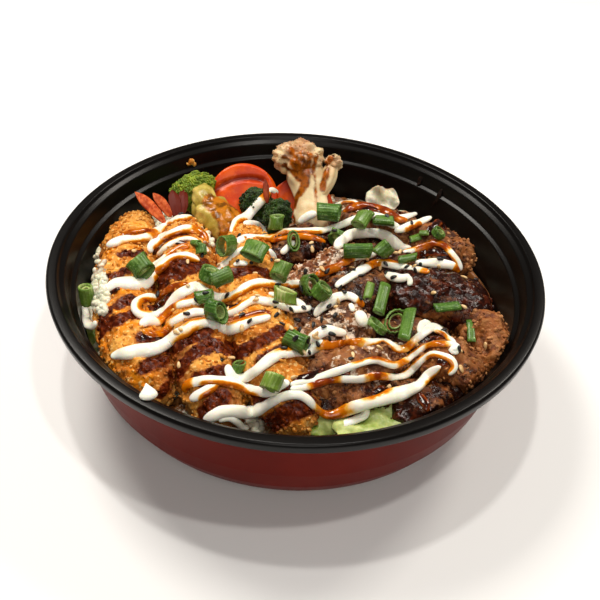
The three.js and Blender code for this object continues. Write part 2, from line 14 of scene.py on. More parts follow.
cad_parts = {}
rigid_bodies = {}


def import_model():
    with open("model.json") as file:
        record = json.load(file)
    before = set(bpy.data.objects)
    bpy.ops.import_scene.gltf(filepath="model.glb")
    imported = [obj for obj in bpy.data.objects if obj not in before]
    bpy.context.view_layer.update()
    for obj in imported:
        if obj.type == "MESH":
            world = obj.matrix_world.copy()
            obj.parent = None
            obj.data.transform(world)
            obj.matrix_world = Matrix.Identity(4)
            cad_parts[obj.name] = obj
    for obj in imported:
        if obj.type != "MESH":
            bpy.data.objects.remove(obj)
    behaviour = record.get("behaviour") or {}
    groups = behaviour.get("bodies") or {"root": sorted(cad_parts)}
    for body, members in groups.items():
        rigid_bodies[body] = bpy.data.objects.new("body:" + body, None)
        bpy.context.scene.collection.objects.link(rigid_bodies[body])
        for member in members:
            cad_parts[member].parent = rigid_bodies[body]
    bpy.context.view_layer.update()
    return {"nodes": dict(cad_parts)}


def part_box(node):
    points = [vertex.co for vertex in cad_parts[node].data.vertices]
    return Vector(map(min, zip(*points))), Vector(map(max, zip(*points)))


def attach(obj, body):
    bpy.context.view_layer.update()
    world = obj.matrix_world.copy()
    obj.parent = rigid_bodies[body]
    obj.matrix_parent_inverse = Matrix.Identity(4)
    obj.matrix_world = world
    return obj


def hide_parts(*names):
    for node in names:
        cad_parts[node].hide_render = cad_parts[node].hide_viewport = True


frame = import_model()

MM = 0.001
UP = np.array([0.0, 0.0, 1.0])
TAU = 2 * math.pi

# ---- Camera ------------------------------------------------------------------------------

CAMERA_PLACE = np.array([2.2, -270.4, 265.5])
CAMERA_AIM = np.array([2.2, -10.6, 40.0])
CAMERA_ROLL = math.radians(4.0)
LENS = 45.0
SENSOR = 36.0
FRAME = 600
FOCUS = FRAME * LENS / SENSOR    # the lens in pixels of the frame


def camera_axes():
    """The camera's right, up and backward directions."""
    back = CAMERA_PLACE - CAMERA_AIM
    back /= np.linalg.norm(back)
    level = np.array([1.0, 0.0, 0.0])
    rise = np.cross(back, level)
    right = level * math.cos(CAMERA_ROLL) + rise * math.sin(CAMERA_ROLL)
    return right, np.cross(back, right), back


def make_camera():
    right, up, back = camera_axes()
    data = bpy.data.cameras.new("camera")
    data.lens, data.sensor_width = LENS, SENSOR
    camera = bpy.data.objects.new("camera", data)
    turn = Matrix([list(row) for row in np.stack([right, up, back], axis=1)]).to_4x4()
    camera.matrix_world = Matrix.Translation(CAMERA_PLACE * MM) @ turn
    bpy.context.collection.objects.link(camera)
    bpy.context.scene.camera = camera


def sight(spot):
    """Direction from the camera through a place on the picture."""
    right, up, back = camera_axes()
    half = FRAME / 2
    way = right * (spot[0] - half) / FOCUS - up * (spot[1] - half) / FOCUS - back
    return way / np.linalg.norm(way)


def on_picture(points):
    """Where points are seen on the picture, in its pixels."""
    right, up, back = camera_axes()
    away = points - CAMERA_PLACE
    depth = -(away @ back)
    return np.stack([FRAME / 2 + FOCUS * (away @ right) / depth,
                     FRAME / 2 - FOCUS * (away @ up) / depth], axis=1)


# ---- Finishes ----------------------------------------------------------------------------

def tone(red, green, blue):
    """Linear colour of a paint given as 0 to 255."""
    shares = [c / 255 for c in (red, green, blue)]
    return [s / 12.92 if s < 0.04 else ((s + 0.055) / 1.055) ** 2.4 for s in shares] + [1.0]


class Finish:
    """A procedural material, built node by node."""

    def __init__(self, name, roughness=0.5, **sockets):
        self.material = bpy.data.materials.new(name)
        self.material.use_nodes = True
        self.tree = self.material.node_tree
        self.shader = self.tree.nodes["Principled BSDF"]
        self.shader.inputs["Roughness"].default_value = roughness
        for socket, value in sockets.items():
            self.shader.inputs[socket.replace("_", " ")].default_value = value
        self.place = self.node("ShaderNodeTexCoord").outputs["Object"]

    def node(self, kind, **settings):
        made = self.tree.nodes.new(kind)
        for key, value in settings.items():
            setattr(made, key, value)
        return made

    def feed(self, socket, value):
        if isinstance(value, bpy.types.NodeSocket):
            self.tree.links.new(value, socket)
        else:
            socket.default_value = value

    def grain(self, size, detail=3.0, rough=0.55, distortion=0.0, stretch=(1, 1, 1)):
        """Soft noise with features of one size in millimetres."""
        spread = self.node("ShaderNodeMapping")
        self.feed(spread.inputs["Vector"], self.place)
        spread.inputs["Scale"].default_value = [1 / s for s in stretch]
        made = self.node("ShaderNodeTexNoise")
        self.feed(made.inputs["Vector"], spread.outputs["Vector"])
        made.inputs["Scale"].default_value = 1 / (size * MM)
        made.inputs["Detail"].default_value = detail
        made.inputs["Roughness"].default_value = rough
        made.inputs["Distortion"].default_value = distortion
        return made.outputs["Fac"]

    def layer(self, name):
        """A number kept on the piece's vertices."""
        return self.node("ShaderNodeAttribute", attribute_name=name).outputs["Fac"]

    def band(self, value, low, high, out=(0.0, 1.0)):
        """Turns a number from low to high into one from out[0] to out[1], eased at both ends."""
        made = self.node("ShaderNodeMapRange", interpolation_type="SMOOTHSTEP")
        self.feed(made.inputs["Value"], value)
        for key, number in zip(("From Min", "From Max", "To Min", "To Max"), (low, high, *out)):
            made.inputs[key].default_value = number
        return made.outputs["Result"]

    def sums(self, operation, a, b):
        made = self.node("ShaderNodeMath", operation=operation, use_clamp=False)
        self.feed(made.inputs[0], a)
        self.feed(made.inputs[1], b)
        return made.outputs["Value"]

    def frayed(self, grain, width):
        """Noise about zero that frays the edge of a layer."""
        made = self.sums("MULTIPLY_ADD", grain, width)
        made.node.inputs[2].default_value = -width / 2
        return made

    def blend(self, share, a, b):
        """Colour a, going over to colour b."""
        made = self.node("ShaderNodeMix", data_type="RGBA")
        self.feed(made.inputs["Factor"], share)
        self.feed(made.inputs["A"], a)
        self.feed(made.inputs["B"], b)
        return made.outputs["Result"]

    def between(self, share, a, b):
        made = self.node("ShaderNodeMix", data_type="FLOAT")
        self.feed(made.inputs["Factor"], share)
        self.feed(made.inputs["A"], a)
        self.feed(made.inputs["B"], b)
        return made.outputs["Result"]

    def paint(self, colour):
        self.feed(self.shader.inputs["Base Color"], colour)

    def rough(self, value):
        self.feed(self.shader.inputs["Roughness"], value)

    def relief(self, height, depth, strength=1.0):
        made = self.node("ShaderNodeBump")
        made.inputs["Strength"].default_value = strength
        made.inputs["Distance"].default_value = depth * MM
        self.feed(made.inputs["Height"], height)
        self.feed(self.shader.inputs["Normal"], made.outputs["Normal"])


DARK_SAUCE = tone(70, 20, 5)


def crumb_finish():
    """Fried breadcrumb, golden, browner where toasted, under stripes of dark sauce; painted shade
    darkens its hollows, where food shuts it in, and lower down on each prawn.
    """
    finish = Finish("fried_crumb", 0.62, Specular_IOR_Level=0.16, Subsurface_Weight=0.06,
                    Subsurface_Scale=0.0015)
    patches = finish.band(finish.grain(15, 3), 0.38, 0.64)
    crust = finish.blend(patches, tone(192, 110, 26), tone(234, 166, 74))
    crust = finish.blend(finish.band(finish.grain(8, 3), 0.52, 0.64), crust, tone(228, 134, 14))
    crust = finish.blend(finish.band(finish.grain(4, 4), 0.56, 0.74, (0.0, 0.8)), crust,
                         tone(168, 92, 30))
    crust = finish.blend(finish.band(finish.grain(1.5, 2), 0.54, 0.7), crust,
                         tone(250, 204, 126))
    # Painted shade: darker in the hollows of the relief.
    hollow_shade = finish.band(finish.layer("relief"), -0.25, -1.1, (0.0, 0.6))
    crust = finish.blend(hollow_shade, crust, tone(128, 62, 18))
    # Painted shade: darker where food shuts the crumb in, from the baked occlusion layer.
    shut = finish.band(finish.layer("shut"), 0.25, 0.95, (0.0, 0.85))
    crust = finish.blend(shut, crust, tone(92, 40, 10))
    # Browner by prawn and by chance, and darker lower down on each prawn, which is painted shade.
    toast = finish.band(finish.layer("toast"), 0.3, 1.0, (0.0, 0.85))
    crust = finish.blend(toast, crust, tone(118, 60, 20))
    wet = finish.sums("ADD", finish.layer("sauce"), finish.frayed(finish.grain(3.4, 5, 0.7), 1.5))
    soaked = finish.band(wet, 0.34, 0.62)
    sauce = finish.blend(finish.band(finish.grain(2.2, 4, 0.7), 0.42, 0.68), DARK_SAUCE,
                         tone(126, 52, 14))
    stain = finish.band(wet, 0.05, 0.5, (0.0, 0.85))
    crust = finish.blend(stain, crust, tone(140, 66, 18))
    finish.paint(finish.blend(soaked, crust, sauce))
    finish.rough(finish.between(soaked, 0.62, 0.28))
    fine = finish.sums("MULTIPLY", finish.grain(1.1, 4, 0.65), finish.between(soaked, 1.0, 0.35))
    finish.relief(finish.sums("ADD", fine, finish.grain(2.6, 3)), 0.5, 0.6)
    return finish.material


def batter_finish():
    """Dark fried batter: thin brown crust, glazed with sauce in places, floury in others. Painted
    shade darkens its pits and where food shuts it in, and its ridges are paler, partly crisp edges
    and partly a painted highlight.
    """
    finish = Finish("fried_batter", 0.4, Specular_IOR_Level=0.3)
    crust = finish.blend(finish.band(finish.grain(9, 4, 0.6), 0.42, 0.6), tone(70, 33, 13),
                         tone(136, 82, 42))
    warm = finish.blend(finish.band(finish.grain(9, 4, 0.6), 0.4, 0.6), tone(100, 47, 14),
                        tone(156, 88, 36))
    crust = finish.blend(finish.layer("warm"), crust, warm)
    crust = finish.blend(finish.band(finish.grain(1.3, 4, 0.65), 0.52, 0.7, (0.0, 0.8)), crust,
                         tone(184, 126, 74))
    crust = finish.blend(finish.band(finish.grain(1.1, 3), 0.56, 0.72, (0.0, 0.7)), crust,
                         tone(70, 32, 12))
    # Paler on the ridges of the relief: partly crisp edges, partly a painted highlight.
    crust = finish.blend(finish.band(finish.layer("relief"), 0.2, 1.0, (0.0, 0.4)), crust,
                         tone(170, 116, 64))
    # Painted shade: darker in the pits of the relief.
    crust = finish.blend(finish.band(finish.layer("relief"), -0.2, -1.1, (0.0, 0.8)), crust,
                         tone(50, 22, 8))
    crust = finish.blend(finish.band(finish.layer("tint"), 0.0, 1.0, (0.0, 0.75)), crust,
                         tone(202, 142, 88))
    crust = finish.blend(finish.band(finish.layer("tint"), 0.0, -1.0, (0.0, 0.75)), crust,
                         tone(86, 38, 14))
    wet = finish.sums("ADD", finish.layer("glaze"), finish.frayed(finish.grain(6, 6, 0.7), 2.4))
    glazed = finish.band(wet, 0.3, 0.62)
    sauce = finish.blend(finish.band(finish.grain(3.5, 4), 0.44, 0.72), tone(32, 9, 4),
                         tone(84, 31, 11))
    colour = finish.blend(glazed, crust, sauce)
    # Painted shade: near black where food shuts the batter in, from the baked occlusion layer.
    shut = finish.band(finish.layer("shut"), 0.3, 0.95, (0.0, 0.85))
    colour = finish.blend(shut, colour, tone(22, 8, 4))
    dusted = finish.band(finish.grain(4.5, 6, 0.7), 0.3, 0.7)
    flour = finish.sums("ADD", finish.layer("flour"), dusted)
    colour = finish.blend(finish.band(flour, 1.2, 1.4, (0.0, 0.9)), colour, tone(232, 212, 190))
    finish.paint(colour)
    finish.rough(finish.between(glazed, 0.5, 0.17))
    fine = finish.sums("MULTIPLY", finish.grain(1.3, 5, 0.65), finish.between(glazed, 1.0, 0.3))
    finish.relief(finish.sums("ADD", fine, finish.grain(3.2, 3)), 0.7, 0.8)
    return finish.material


def mayonnaise_finish():
    """Cream-white mayonnaise with amber sauce lying along it."""
    finish = Finish("mayonnaise", 0.2, Specular_IOR_Level=0.45, Subsurface_Weight=0.2,
                    Subsurface_Scale=0.0015)
    streak = finish.frayed(finish.grain(5, 4), 1.5)
    share = finish.band(finish.layer("amber"), 0.1, 0.6)
    amber = finish.sums("ADD", finish.layer("amber"), finish.sums("MULTIPLY", streak, share))
    white = finish.blend(finish.band(finish.grain(6, 2), 0.35, 0.7), tone(252, 246, 226),
                         tone(255, 252, 240))
    colour = finish.blend(finish.band(amber, 0.15, 0.5), white, tone(244, 178, 62))
    colour = finish.blend(finish.band(amber, 0.42, 0.72), colour, tone(208, 112, 0))
    colour = finish.blend(finish.band(amber, 0.8, 1.2), colour, tone(134, 48, 2))
    colour = finish.blend(finish.band(amber, 1.2, 1.6), colour, tone(60, 18, 5))
    finish.paint(colour)
    finish.rough(finish.band(amber, 0.3, 0.6, (0.26, 0.12)))
    finish.relief(finish.grain(2.4, 2), 0.25, 0.35)
    return finish.material


def onion_finish():
    """Spring onion: green skin with fine ribs, paler inside and on the cuts."""
    finish = Finish("spring_onion", 0.3, Specular_IOR_Level=0.35, Subsurface_Weight=0.1,
                    Subsurface_Scale=0.001)
    finish.shader.inputs["Subsurface Radius"].default_value = (0.4, 1.0, 0.25)
    skin = finish.blend(finish.band(finish.grain(5, 2), 0.35, 0.65), tone(38, 78, 18),
                        tone(68, 108, 32))
    skin = finish.blend(finish.layer("light"), skin, tone(128, 156, 58))
    skin = finish.blend(finish.band(finish.layer("rib"), 0.7, 1.0, (0.0, 0.3)), skin,
                        tone(118, 156, 74))
    inside = finish.blend(finish.layer("light"), tone(88, 128, 54), tone(196, 200, 132))
    colour = finish.blend(finish.band(finish.layer("inner"), 0.25, 0.7), skin, inside)
    finish.paint(finish.blend(finish.band(finish.grain(0.7, 2), 0.56, 0.8), colour,
                              tone(160, 190, 110)))
    finish.relief(finish.grain(0.8, 2), 0.12, 0.4)
    return finish.material


def bowl_finish(name, colour, lighter, roughness, sheen):
    """Moulded plastic with faint flow marks and fine scuffs."""
    finish = Finish(name, roughness, Specular_IOR_Level=sheen)
    finish.paint(finish.blend(finish.band(finish.grain(40, 4), 0.4, 0.7), colour, lighter))
    scuff = finish.band(finish.grain(7, 8, 0.75), 0.56, 0.76)
    finish.rough(finish.between(scuff, roughness, roughness + 0.06))
    finish.relief(finish.grain(26, 2), 0.05, 0.2)
    return finish.material


def rice_finish():
    """Cooked rice: cream-white and slightly clear, browner towards the right, partly sauce that ran
    down and partly painted shade among the pieces, and along the front as painted shade.
    """
    finish = Finish("rice", 0.32, Specular_IOR_Level=0.4, Subsurface_Weight=0.15,
                    Subsurface_Scale=0.0015)
    grain = finish.blend(finish.band(finish.grain(4, 2), 0.35, 0.7), tone(222, 214, 184),
                         tone(246, 240, 220))
    stain = finish.sums("ADD", finish.layer("stain"), finish.band(finish.grain(9, 3), 0.3, 0.7))
    colour = finish.blend(finish.band(stain, 0.9, 1.5), grain, tone(128, 78, 36))
    finish.paint(colour)
    finish.relief(finish.grain(1.2, 3), 0.2, 0.4)
    return finish.material


def plant_finish(name, deep, fresh, size, roughness=0.45, sauce=None, clear=0.2, fine=0.7,
                 browned=None):
    """Cooked vegetable flesh in two tones with painted shade in the hollows of its relief, wet with
    sauce where its layer says so.
    """
    finish = Finish(name, roughness, Specular_IOR_Level=0.32, Subsurface_Weight=clear,
                    Subsurface_Scale=0.0015)
    colour = finish.blend(finish.band(finish.grain(size, 4), 0.34, 0.68), deep, fresh)
    # Painted shade: darker in the hollows of the relief.
    colour = finish.blend(finish.band(finish.layer("relief"), -0.1, -0.9), colour,
                          [0.35 * c for c in deep[:3]] + [1.0])
    if browned:
        colour = finish.blend(finish.layer("core"), colour, browned)
    if sauce:
        edge = finish.frayed(finish.grain(3.5, 4), 1.1)
        wet = finish.band(finish.sums("ADD", finish.layer("sauce"), edge), 0.15, 0.75)
        deeper = finish.blend(finish.band(finish.grain(4, 4), 0.42, 0.62), sauce,
                              [0.3 * c for c in sauce[:3]] + [1.0])
        colour = finish.blend(wet, colour, deeper)
        finish.rough(finish.between(wet, roughness, 0.14))
    finish.paint(colour)
    finish.relief(finish.grain(fine, 4), 0.25, 0.5)
    return finish.material


def carrot_finish():
    """Carrot slice: orange-red flesh with fine rays out from the middle, and painted shade in its
    pressed crease.
    """
    finish = Finish("carrot", 0.3, Specular_IOR_Level=0.22)
    colour = finish.blend(finish.band(finish.grain(7, 3), 0.35, 0.68), tone(204, 58, 4),
                          tone(230, 88, 12))
    # Painted shade: dark red in the crease.
    colour = finish.blend(finish.layer("core"), colour, tone(112, 14, 2))
    finish.paint(finish.blend(finish.band(finish.grain(1.6, 3), 0.6, 0.8), colour,
                              tone(230, 98, 30)))
    finish.relief(finish.grain(2.2, 4), 0.3, 0.45)
    return finish.material


def seed_finish(name, colour, lighter):
    finish = Finish(name, 0.42)
    finish.paint(finish.blend(finish.band(finish.grain(1.6, 3), 0.35, 0.7), colour, lighter))
    finish.relief(finish.grain(0.5, 2), 0.06, 0.5)
    return finish.material


# ---- Bowl section ------------------------------------------------------------------------

OUTSIDE = [(0, 1), (60, 1), (62, 0), (70, 0), (79, 1.2), (87, 4.2), (92.4, 9), (96.7, 17.5),
           (99.2, 28), (100.4, 45), (102.4, 50), (103.6, 55.5)]
LIP = [(109.6, 55.5), (110, 59), (109.1, 60), (105.5, 60), (104.6, 58.4), (102.4, 56.8),
       (100.9, 50.8)]
INNER_WALL = [(0, 2.2), (76, 2.8), (84, 5.2), (90, 10), (94.6, 18.5), (97.2, 30),
              (98.8, 49.6)]
BOWL_TURNS = 192
CORNER = 0.55                    # rounding at each corner of the bowl's section

# ---- Shaping -----------------------------------------------------------------------------

class Route:
    """A smooth line through some points, met by the share of its length."""

    def __init__(self, points, ups=None):
        points = np.array(points, float)
        first, last = 2 * points[0] - points[1], 2 * points[-1] - points[-2]
        chain = np.concatenate([[first], points, [last]])
        fine = []
        for p0, p1, p2, p3 in zip(chain, chain[1:], chain[2:], chain[3:]):
            d0, d1, d2 = [max(np.linalg.norm(b - a), 1e-6) ** 0.5
                          for a, b in ((p0, p1), (p1, p2), (p2, p3))]
            m1 = ((p1 - p0) / d0 - (p2 - p0) / (d0 + d1) + (p2 - p1) / d1) * d1
            m2 = ((p2 - p1) / d1 - (p3 - p1) / (d1 + d2) + (p3 - p2) / d2) * d1
            s = np.linspace(0, 1, 24, endpoint=False)[:, None]
            fine.append((2 * s**3 - 3 * s**2 + 1) * p1 + (s**3 - 2 * s**2 + s) * m1
                        + (3 * s**2 - 2 * s**3) * p2 + (s**3 - s**2) * m2)
        self.points = np.concatenate([*fine, points[-1:]])
        steps = np.linalg.norm(np.diff(self.points, axis=0), axis=1)
        self.at_length = np.concatenate([[0], np.cumsum(steps)])
        self.length = self.at_length[-1]
        self.ups = None
        if ups is not None:
            share = np.linspace(0, 1, len(ups))
            mine = self.at_length / self.length
            self.ups = np.stack([np.interp(mine, share, c) for c in np.array(ups).T], axis=1)

    def along(self, share, values=None):
        values = self.points if values is None else values
        at = np.asarray(share) * self.length
        return np.stack([np.interp(at, self.at_length, c) for c in values.T], axis=-1)

    def frame(self, share):
        """Place, direction, sideways and outward direction at each share of the length."""
        share = np.asarray(share, float)
        step = 0.004
        way = self.along(np.minimum(share + step, 1)) - self.along(np.maximum(share - step, 0))
        way /= np.linalg.norm(way, axis=-1, keepdims=True)
        up = UP if self.ups is None else self.along(share, self.ups)
        side = np.cross(way, up)
        side /= np.linalg.norm(side, axis=-1, keepdims=True)
        return self.along(share), way, side, np.cross(side, way)


def ball(around, along):
    """A unit ball as a mesh in making."""
    bm = bmesh.new()
    bmesh.ops.create_uvsphere(bm, u_segments=around, v_segments=along, radius=1)
    return bm


def places(bm):
    return np.array([v.co for v in bm.verts])


def move(bm, points):
    for vertex, point in zip(bm.verts, points):
        vertex.co = point


def bumps(p, size, seed):
    """The same broad bumps as the solids have."""
    k = TAU / size
    x, y, z = p[..., 0], p[..., 1], p[..., 2]
    a = np.sin(k * (x + 0.31 * y) + 1.7 * seed)
    b = np.cos(k * (y - 0.27 * z) + 2.9 * seed)
    c = np.sin(k * (z + 0.41 * x - 0.2 * y) + 4.1 * seed)
    return (a * b + c) / 2


def soft_noise(points, size, seed=0.0):
    return np.array([noise.noise(p) for p in (points / size + 7.3 * seed).tolist()])


def crags(points, size, seed=0.0):
    """Sharp-creased relief of one size, about -0.4 to 0.4."""
    spots = (points / size + 3.7 * seed).tolist()
    return 0.4 - np.array([noise.turbulence(p, 2, True) for p in spots])


def knobs(points, size, seed=0.0):
    """Rounded knobs of one size: 1 on their tops and near 0 between them."""
    spots = (points / size + 5.1 * seed).tolist()
    return 1 - np.array([noise.voronoi(p)[0][0] for p in spots])


def inside_bowl(points, clear=0.5):
    """The points, with any that would reach into the bowl's wall drawn in from it."""
    heights = [z for _, z in INNER_WALL]
    limit = np.interp(points[:, 2], heights, [r for r, _ in INNER_WALL]) - clear
    radius = np.hypot(points[:, 0], points[:, 1])
    drawn = points.copy()
    drawn[:, :2] *= np.minimum(1, limit / np.maximum(radius, 1e-6))[:, None]
    return drawn


def even(value):
    return lambda t: value + 0 * t


def stretched(route, width, height, around, along, fullness=3.0, swell=even(1.0)):
    """A ball stretched along a route. Returns the mesh, its outward directions and its shares."""
    bm = ball(around, along)
    unit = places(bm)
    polar = np.arccos(np.clip(unit[:, 2], -1, 1)) / math.pi
    t = 0.55 * polar + 0.225 * (1 - np.cos(math.pi * polar))
    section = np.sqrt(np.maximum(0, 1 - np.abs(2 * t - 1) ** fullness)) * swell(t)
    angle = np.arctan2(unit[:, 1], unit[:, 0])
    place, way, side, out = route.frame(t)
    offset = (side * (np.cos(angle) * width * section)[:, None]
              + out * (np.sin(angle) * height * section)[:, None])
    size = np.linalg.norm(offset, axis=1, keepdims=True)
    at_tip = np.sign(t - 0.5)[:, None] * way
    outward = np.where(size > 1e-9, offset / np.maximum(size, 1e-9), at_tip)
    move(bm, place + offset)
    return bm, outward, t, section, angle


def to_mesh(bm, name):
    """Closes a mesh in making, in metres, with its faces outward."""
    bmesh.ops.remove_doubles(bm, verts=bm.verts, dist=1e-5)
    bmesh.ops.recalc_face_normals(bm, faces=bm.faces)
    bmesh.ops.scale(bm, vec=(MM,) * 3, verts=bm.verts)
    mesh = bpy.data.meshes.new(name)
    bm.to_mesh(mesh)
    bm.free()
    return mesh


def keep(mesh, **layers):
    """Stores numbers on a mesh's vertices."""
    for name, values in layers.items():
        layer = mesh.attributes.new(name, "FLOAT", "POINT")
        layer.data.foreach_set("value", np.asarray(values, np.float32))


def spots_of(mesh):
    """The vertices of a mesh, in millimetres."""
    flat = np.zeros(3 * len(mesh.vertices), np.float32)
    mesh.vertices.foreach_get("co", flat)
    return flat.reshape(-1, 3).astype(float) / MM


def show(name, mesh, finishes, slot, *nodes):
    """Makes a mesh a piece of the object, standing for some nodes of the frame."""
    for finish in finishes:
        mesh.materials.append(finish)
    mesh.shade_smooth()
    piece = bpy.data.objects.new(name, mesh)
    bpy.context.collection.objects.link(piece)
    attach(piece, "root")
    if nodes:
        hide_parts(*nodes)
    return piece


def copies(name, pattern, turns, places_mm, sizes):
    """One mesh of many copies of a small one: each turned, sized and put in its place."""
    base = spots_of(pattern)
    count = len(places_mm)
    points = np.einsum("nij,vj->nvi", turns, base) * sizes[:, None, None] + places_mm[:, None, :]
    loops = np.zeros(len(pattern.loops), np.int32)
    pattern.loops.foreach_get("vertex_index", loops)
    starts = np.zeros(len(pattern.polygons), np.int32)
    pattern.polygons.foreach_get("loop_start", starts)
    lift = np.arange(count, dtype=np.int32)[:, None]
    mesh = bpy.data.meshes.new(name)
    mesh.vertices.add(count * len(base))
    mesh.loops.add(count * len(loops))
    mesh.polygons.add(count * len(starts))
    mesh.vertices.foreach_set("co", (points.reshape(-1, 3) * MM).astype(np.float32).ravel())
    mesh.loops.foreach_set("vertex_index", (loops + lift * len(base)).ravel())
    mesh.polygons.foreach_set("loop_start", (starts + lift * len(loops)).ravel())
    mesh.update(calc_edges=True)
    return mesh


def joined(name, meshes):
    bm = bmesh.new()
    for mesh in meshes:
        bm.from_mesh(mesh)
    whole = bpy.data.meshes.new(name)
    bm.to_mesh(whole)
    bm.free()
    return whole


def upright(ups, rng, lean=0.25):
    """Turns that stand +Z along each given direction, spun by chance."""
    turns = []
    for up in ups:
        up = up + rng.normal(0, lean, 3)
        up /= np.linalg.norm(up)
        spin = rng.uniform(0, TAU)
        side = np.cross(up, [math.cos(spin), math.sin(spin), 0.3])
        side /= np.linalg.norm(side)
        turns.append(np.stack([side, np.cross(up, side), up], axis=1))
    return np.array(turns)


def chip_mesh():
    """A crumb with a few flat faces."""
    bm = bmesh.new()
    bmesh.ops.create_icosphere(bm, subdivisions=2, radius=1)
    points = places(bm)
    points *= 1 + 0.45 * soft_noise(points, 0.8, 3)[:, None]
    move(bm, points * [1.2, 0.85, 0.5])
    return to_mesh(bm, "chip")


CHIP = chip_mesh()


def with_chips(mesh, count, size, rng, sink=0.35):
    """The mesh with crumbs standing on it, and the vertices they stand on."""
    points = spots_of(mesh)
    normals = np.array([v.normal for v in mesh.vertices])
    chosen = rng.choice(len(points), count, replace=False)
    sizes = size * rng.uniform(0.55, 1.25, count)
    seats = points[chosen] + normals[chosen] * (sizes * sink)[:, None]
    turns = upright(normals[chosen], rng, 0.5)
    return joined(mesh.name, [mesh, copies("chips", CHIP, turns, seats, sizes)]), chosen


# ---- Prawns ------------------------------------------------------------------------------

PRAWNS = {
    "prawn_3": dict(route=[(-27, 33, 45), (-20, -18, 48), (-9, -56, 48), (7, -90, 43)],
                    width=14.0, seed=3),
    "prawn_2": dict(route=[(-59, 40, 43), (-50, -5, 46), (-38, -50, 46), (-22, -91, 42)],
                    width=13.6, seed=2),
    "prawn_1": dict(route=[(-81, 40, 44), (-78, -5, 45), (-69, -42, 45), (-49, -81, 42)],
                    width=13.2, seed=1),
}


def prawn_form(route, width, seed):
    """A breaded prawn with broad bumps, lumps of crumb and fine crumb, and its relief."""
    way = Route(route)
    bm, outward, _, section, _ = stretched(
        way, width, 0.97 * width, 128, 210, 5.0, lambda t: 0.8 + 0.2 * np.minimum(1, 4 * t))
    skin = places(bm)
    broad = 0.7 * (bumps(skin, 8, seed) + bumps(skin, 18.4, seed + 5))
    lumps = crags(skin, 6.5, seed)
    crumb = crags(skin, 2.6, seed + 0.4)
    fine = soft_noise(skin, 1.1, seed)
    rise = broad + 1.9 * lumps + 1.1 * crumb + 0.3 * fine
    move(bm, inside_bowl(skin + outward * (rise * np.minimum(1, 2 * section))[:, None]))
    return to_mesh(bm, "prawn"), 1.3 * lumps + 1.6 * crumb + 0.3 * fine


# ---- Battered seafood --------------------------------------------------------------------

# Route from tip to tip, half width, half height, then how glazed, floury and warm it is.
FRIED = [
    ([(39, -16, 49), (60, -17, 54), (86, -24, 49)], 14, 9.5, 0.95, 0.0, 0.5),
    ([(4, -51, 49), (18, -45, 53), (32, -36, 50)], 9, 8.5, 0.12, 0.75, 0.0),
    ([(-4, -17, 49), (12, -4, 53), (33, 15, 51)], 7.5, 7, 0.3, 0.62, 1.0),
    ([(1, -74, 47), (22, -64, 51), (47, -53, 50)], 9.5, 8.5, 0.34, 0.5, 0.5),
    ([(49, -50, 46), (66, -59, 51), (76, -68, 45)], 10, 9, 0.2, 0.1, 0.8),
    ([(70, -26, 45), (82, -37, 48), (84, -54, 44)], 10, 10, 0.1, 0.15, 0.9),
    ([(14, 29, 48), (35, 39, 51), (58, 29, 49)], 10, 8.5, 0.5, 0.3, 0.3),
    ([(47, 29, 45), (63, 31, 48), (81, 13, 44)], 12, 9, 0.36, 0.2, 0.6),
    ([(-2, -40, 44), (20, -21, 49), (46, -4, 48)], 13, 9.5, 0.6, 0.3, 0.2),
    ([(-15, 3, 44), (-1, 18, 47), (17, 30, 45)], 11, 8.5, 0.72, 0.1, 0.4),
    ([(6, -77, 40), (26, -71, 44), (50, -63, 44)], 8, 8, 0.5, 0.3, 0.3),
    ([(39, -80, 39), (54, -73, 43), (74, -60, 43)], 11, 9, 0.68, 0.05, 0.7),
    ([(20, 12, 43), (45, 8, 46), (74, -6, 42)], 13, 8, 0.6, 0.2, 0.2),
    ([(24, -46, 41), (42, -38, 45), (67, -40, 43)], 13, 8, 0.6, 0.25, 0.2),
]


def fried_form(index, route, width, height, glaze):
    """A piece in knobbly batter, and its relief."""
    way = Route(route)
    bm, outward, _, section, _ = stretched(
        way, width, height, 104, 96, 3.0, lambda t: 1 + 0.12 * np.sin(9 * t + index))
    skin = places(bm)
    seed = index + 11
    broad = 1.1 * (bumps(skin, 10, seed) + bumps(skin, 23, seed + 5))
    folds = crags(skin, 9.5, index)
    rough = crags(skin, 3.2, index + 0.3)
    fine = soft_noise(skin, 1.1, index)
    rise = broad + 2.4 * folds + (1 - 0.7 * glaze) * (1.2 * rough + 0.35 * fine)
    move(bm, inside_bowl(skin + outward * (rise * np.minimum(1, 2 * section))[:, None]))
    return to_mesh(bm, f"fried_{index + 1}"), 2.2 * folds + 1.6 * rough


rng = np.random.default_rng(7)
CRUMB = crumb_finish()
BATTER = batter_finish()
prawn_meshes = {name: prawn_form(**spec) for name, spec in PRAWNS.items()}
fried_meshes = {f"fried_{i + 1}": fried_form(i, *spec[:4]) for i, spec in enumerate(FRIED)}


# ---- Where the camera's lines of sight meet the food -------------------------------------

def tree_of(meshes):
    """A search tree over several meshes, in millimetres."""
    points, faces = [], []
    for mesh in meshes:
        base = len(points)
        points += spots_of(mesh).tolist()
        faces += [[base + i for i in p.vertices] for p in mesh.polygons]
    return BVHTree.FromPolygons(points, faces)


def cad_mesh(node):
    """A merged copy of one node's mesh."""
    bm = bmesh.new()
    bm.from_mesh(frame["nodes"][node].data)
    bmesh.ops.remove_doubles(bm, verts=bm.verts, dist=1e-6)
    mesh = bpy.data.meshes.new(node)
    bm.to_mesh(mesh)
    bm.free()
    return mesh


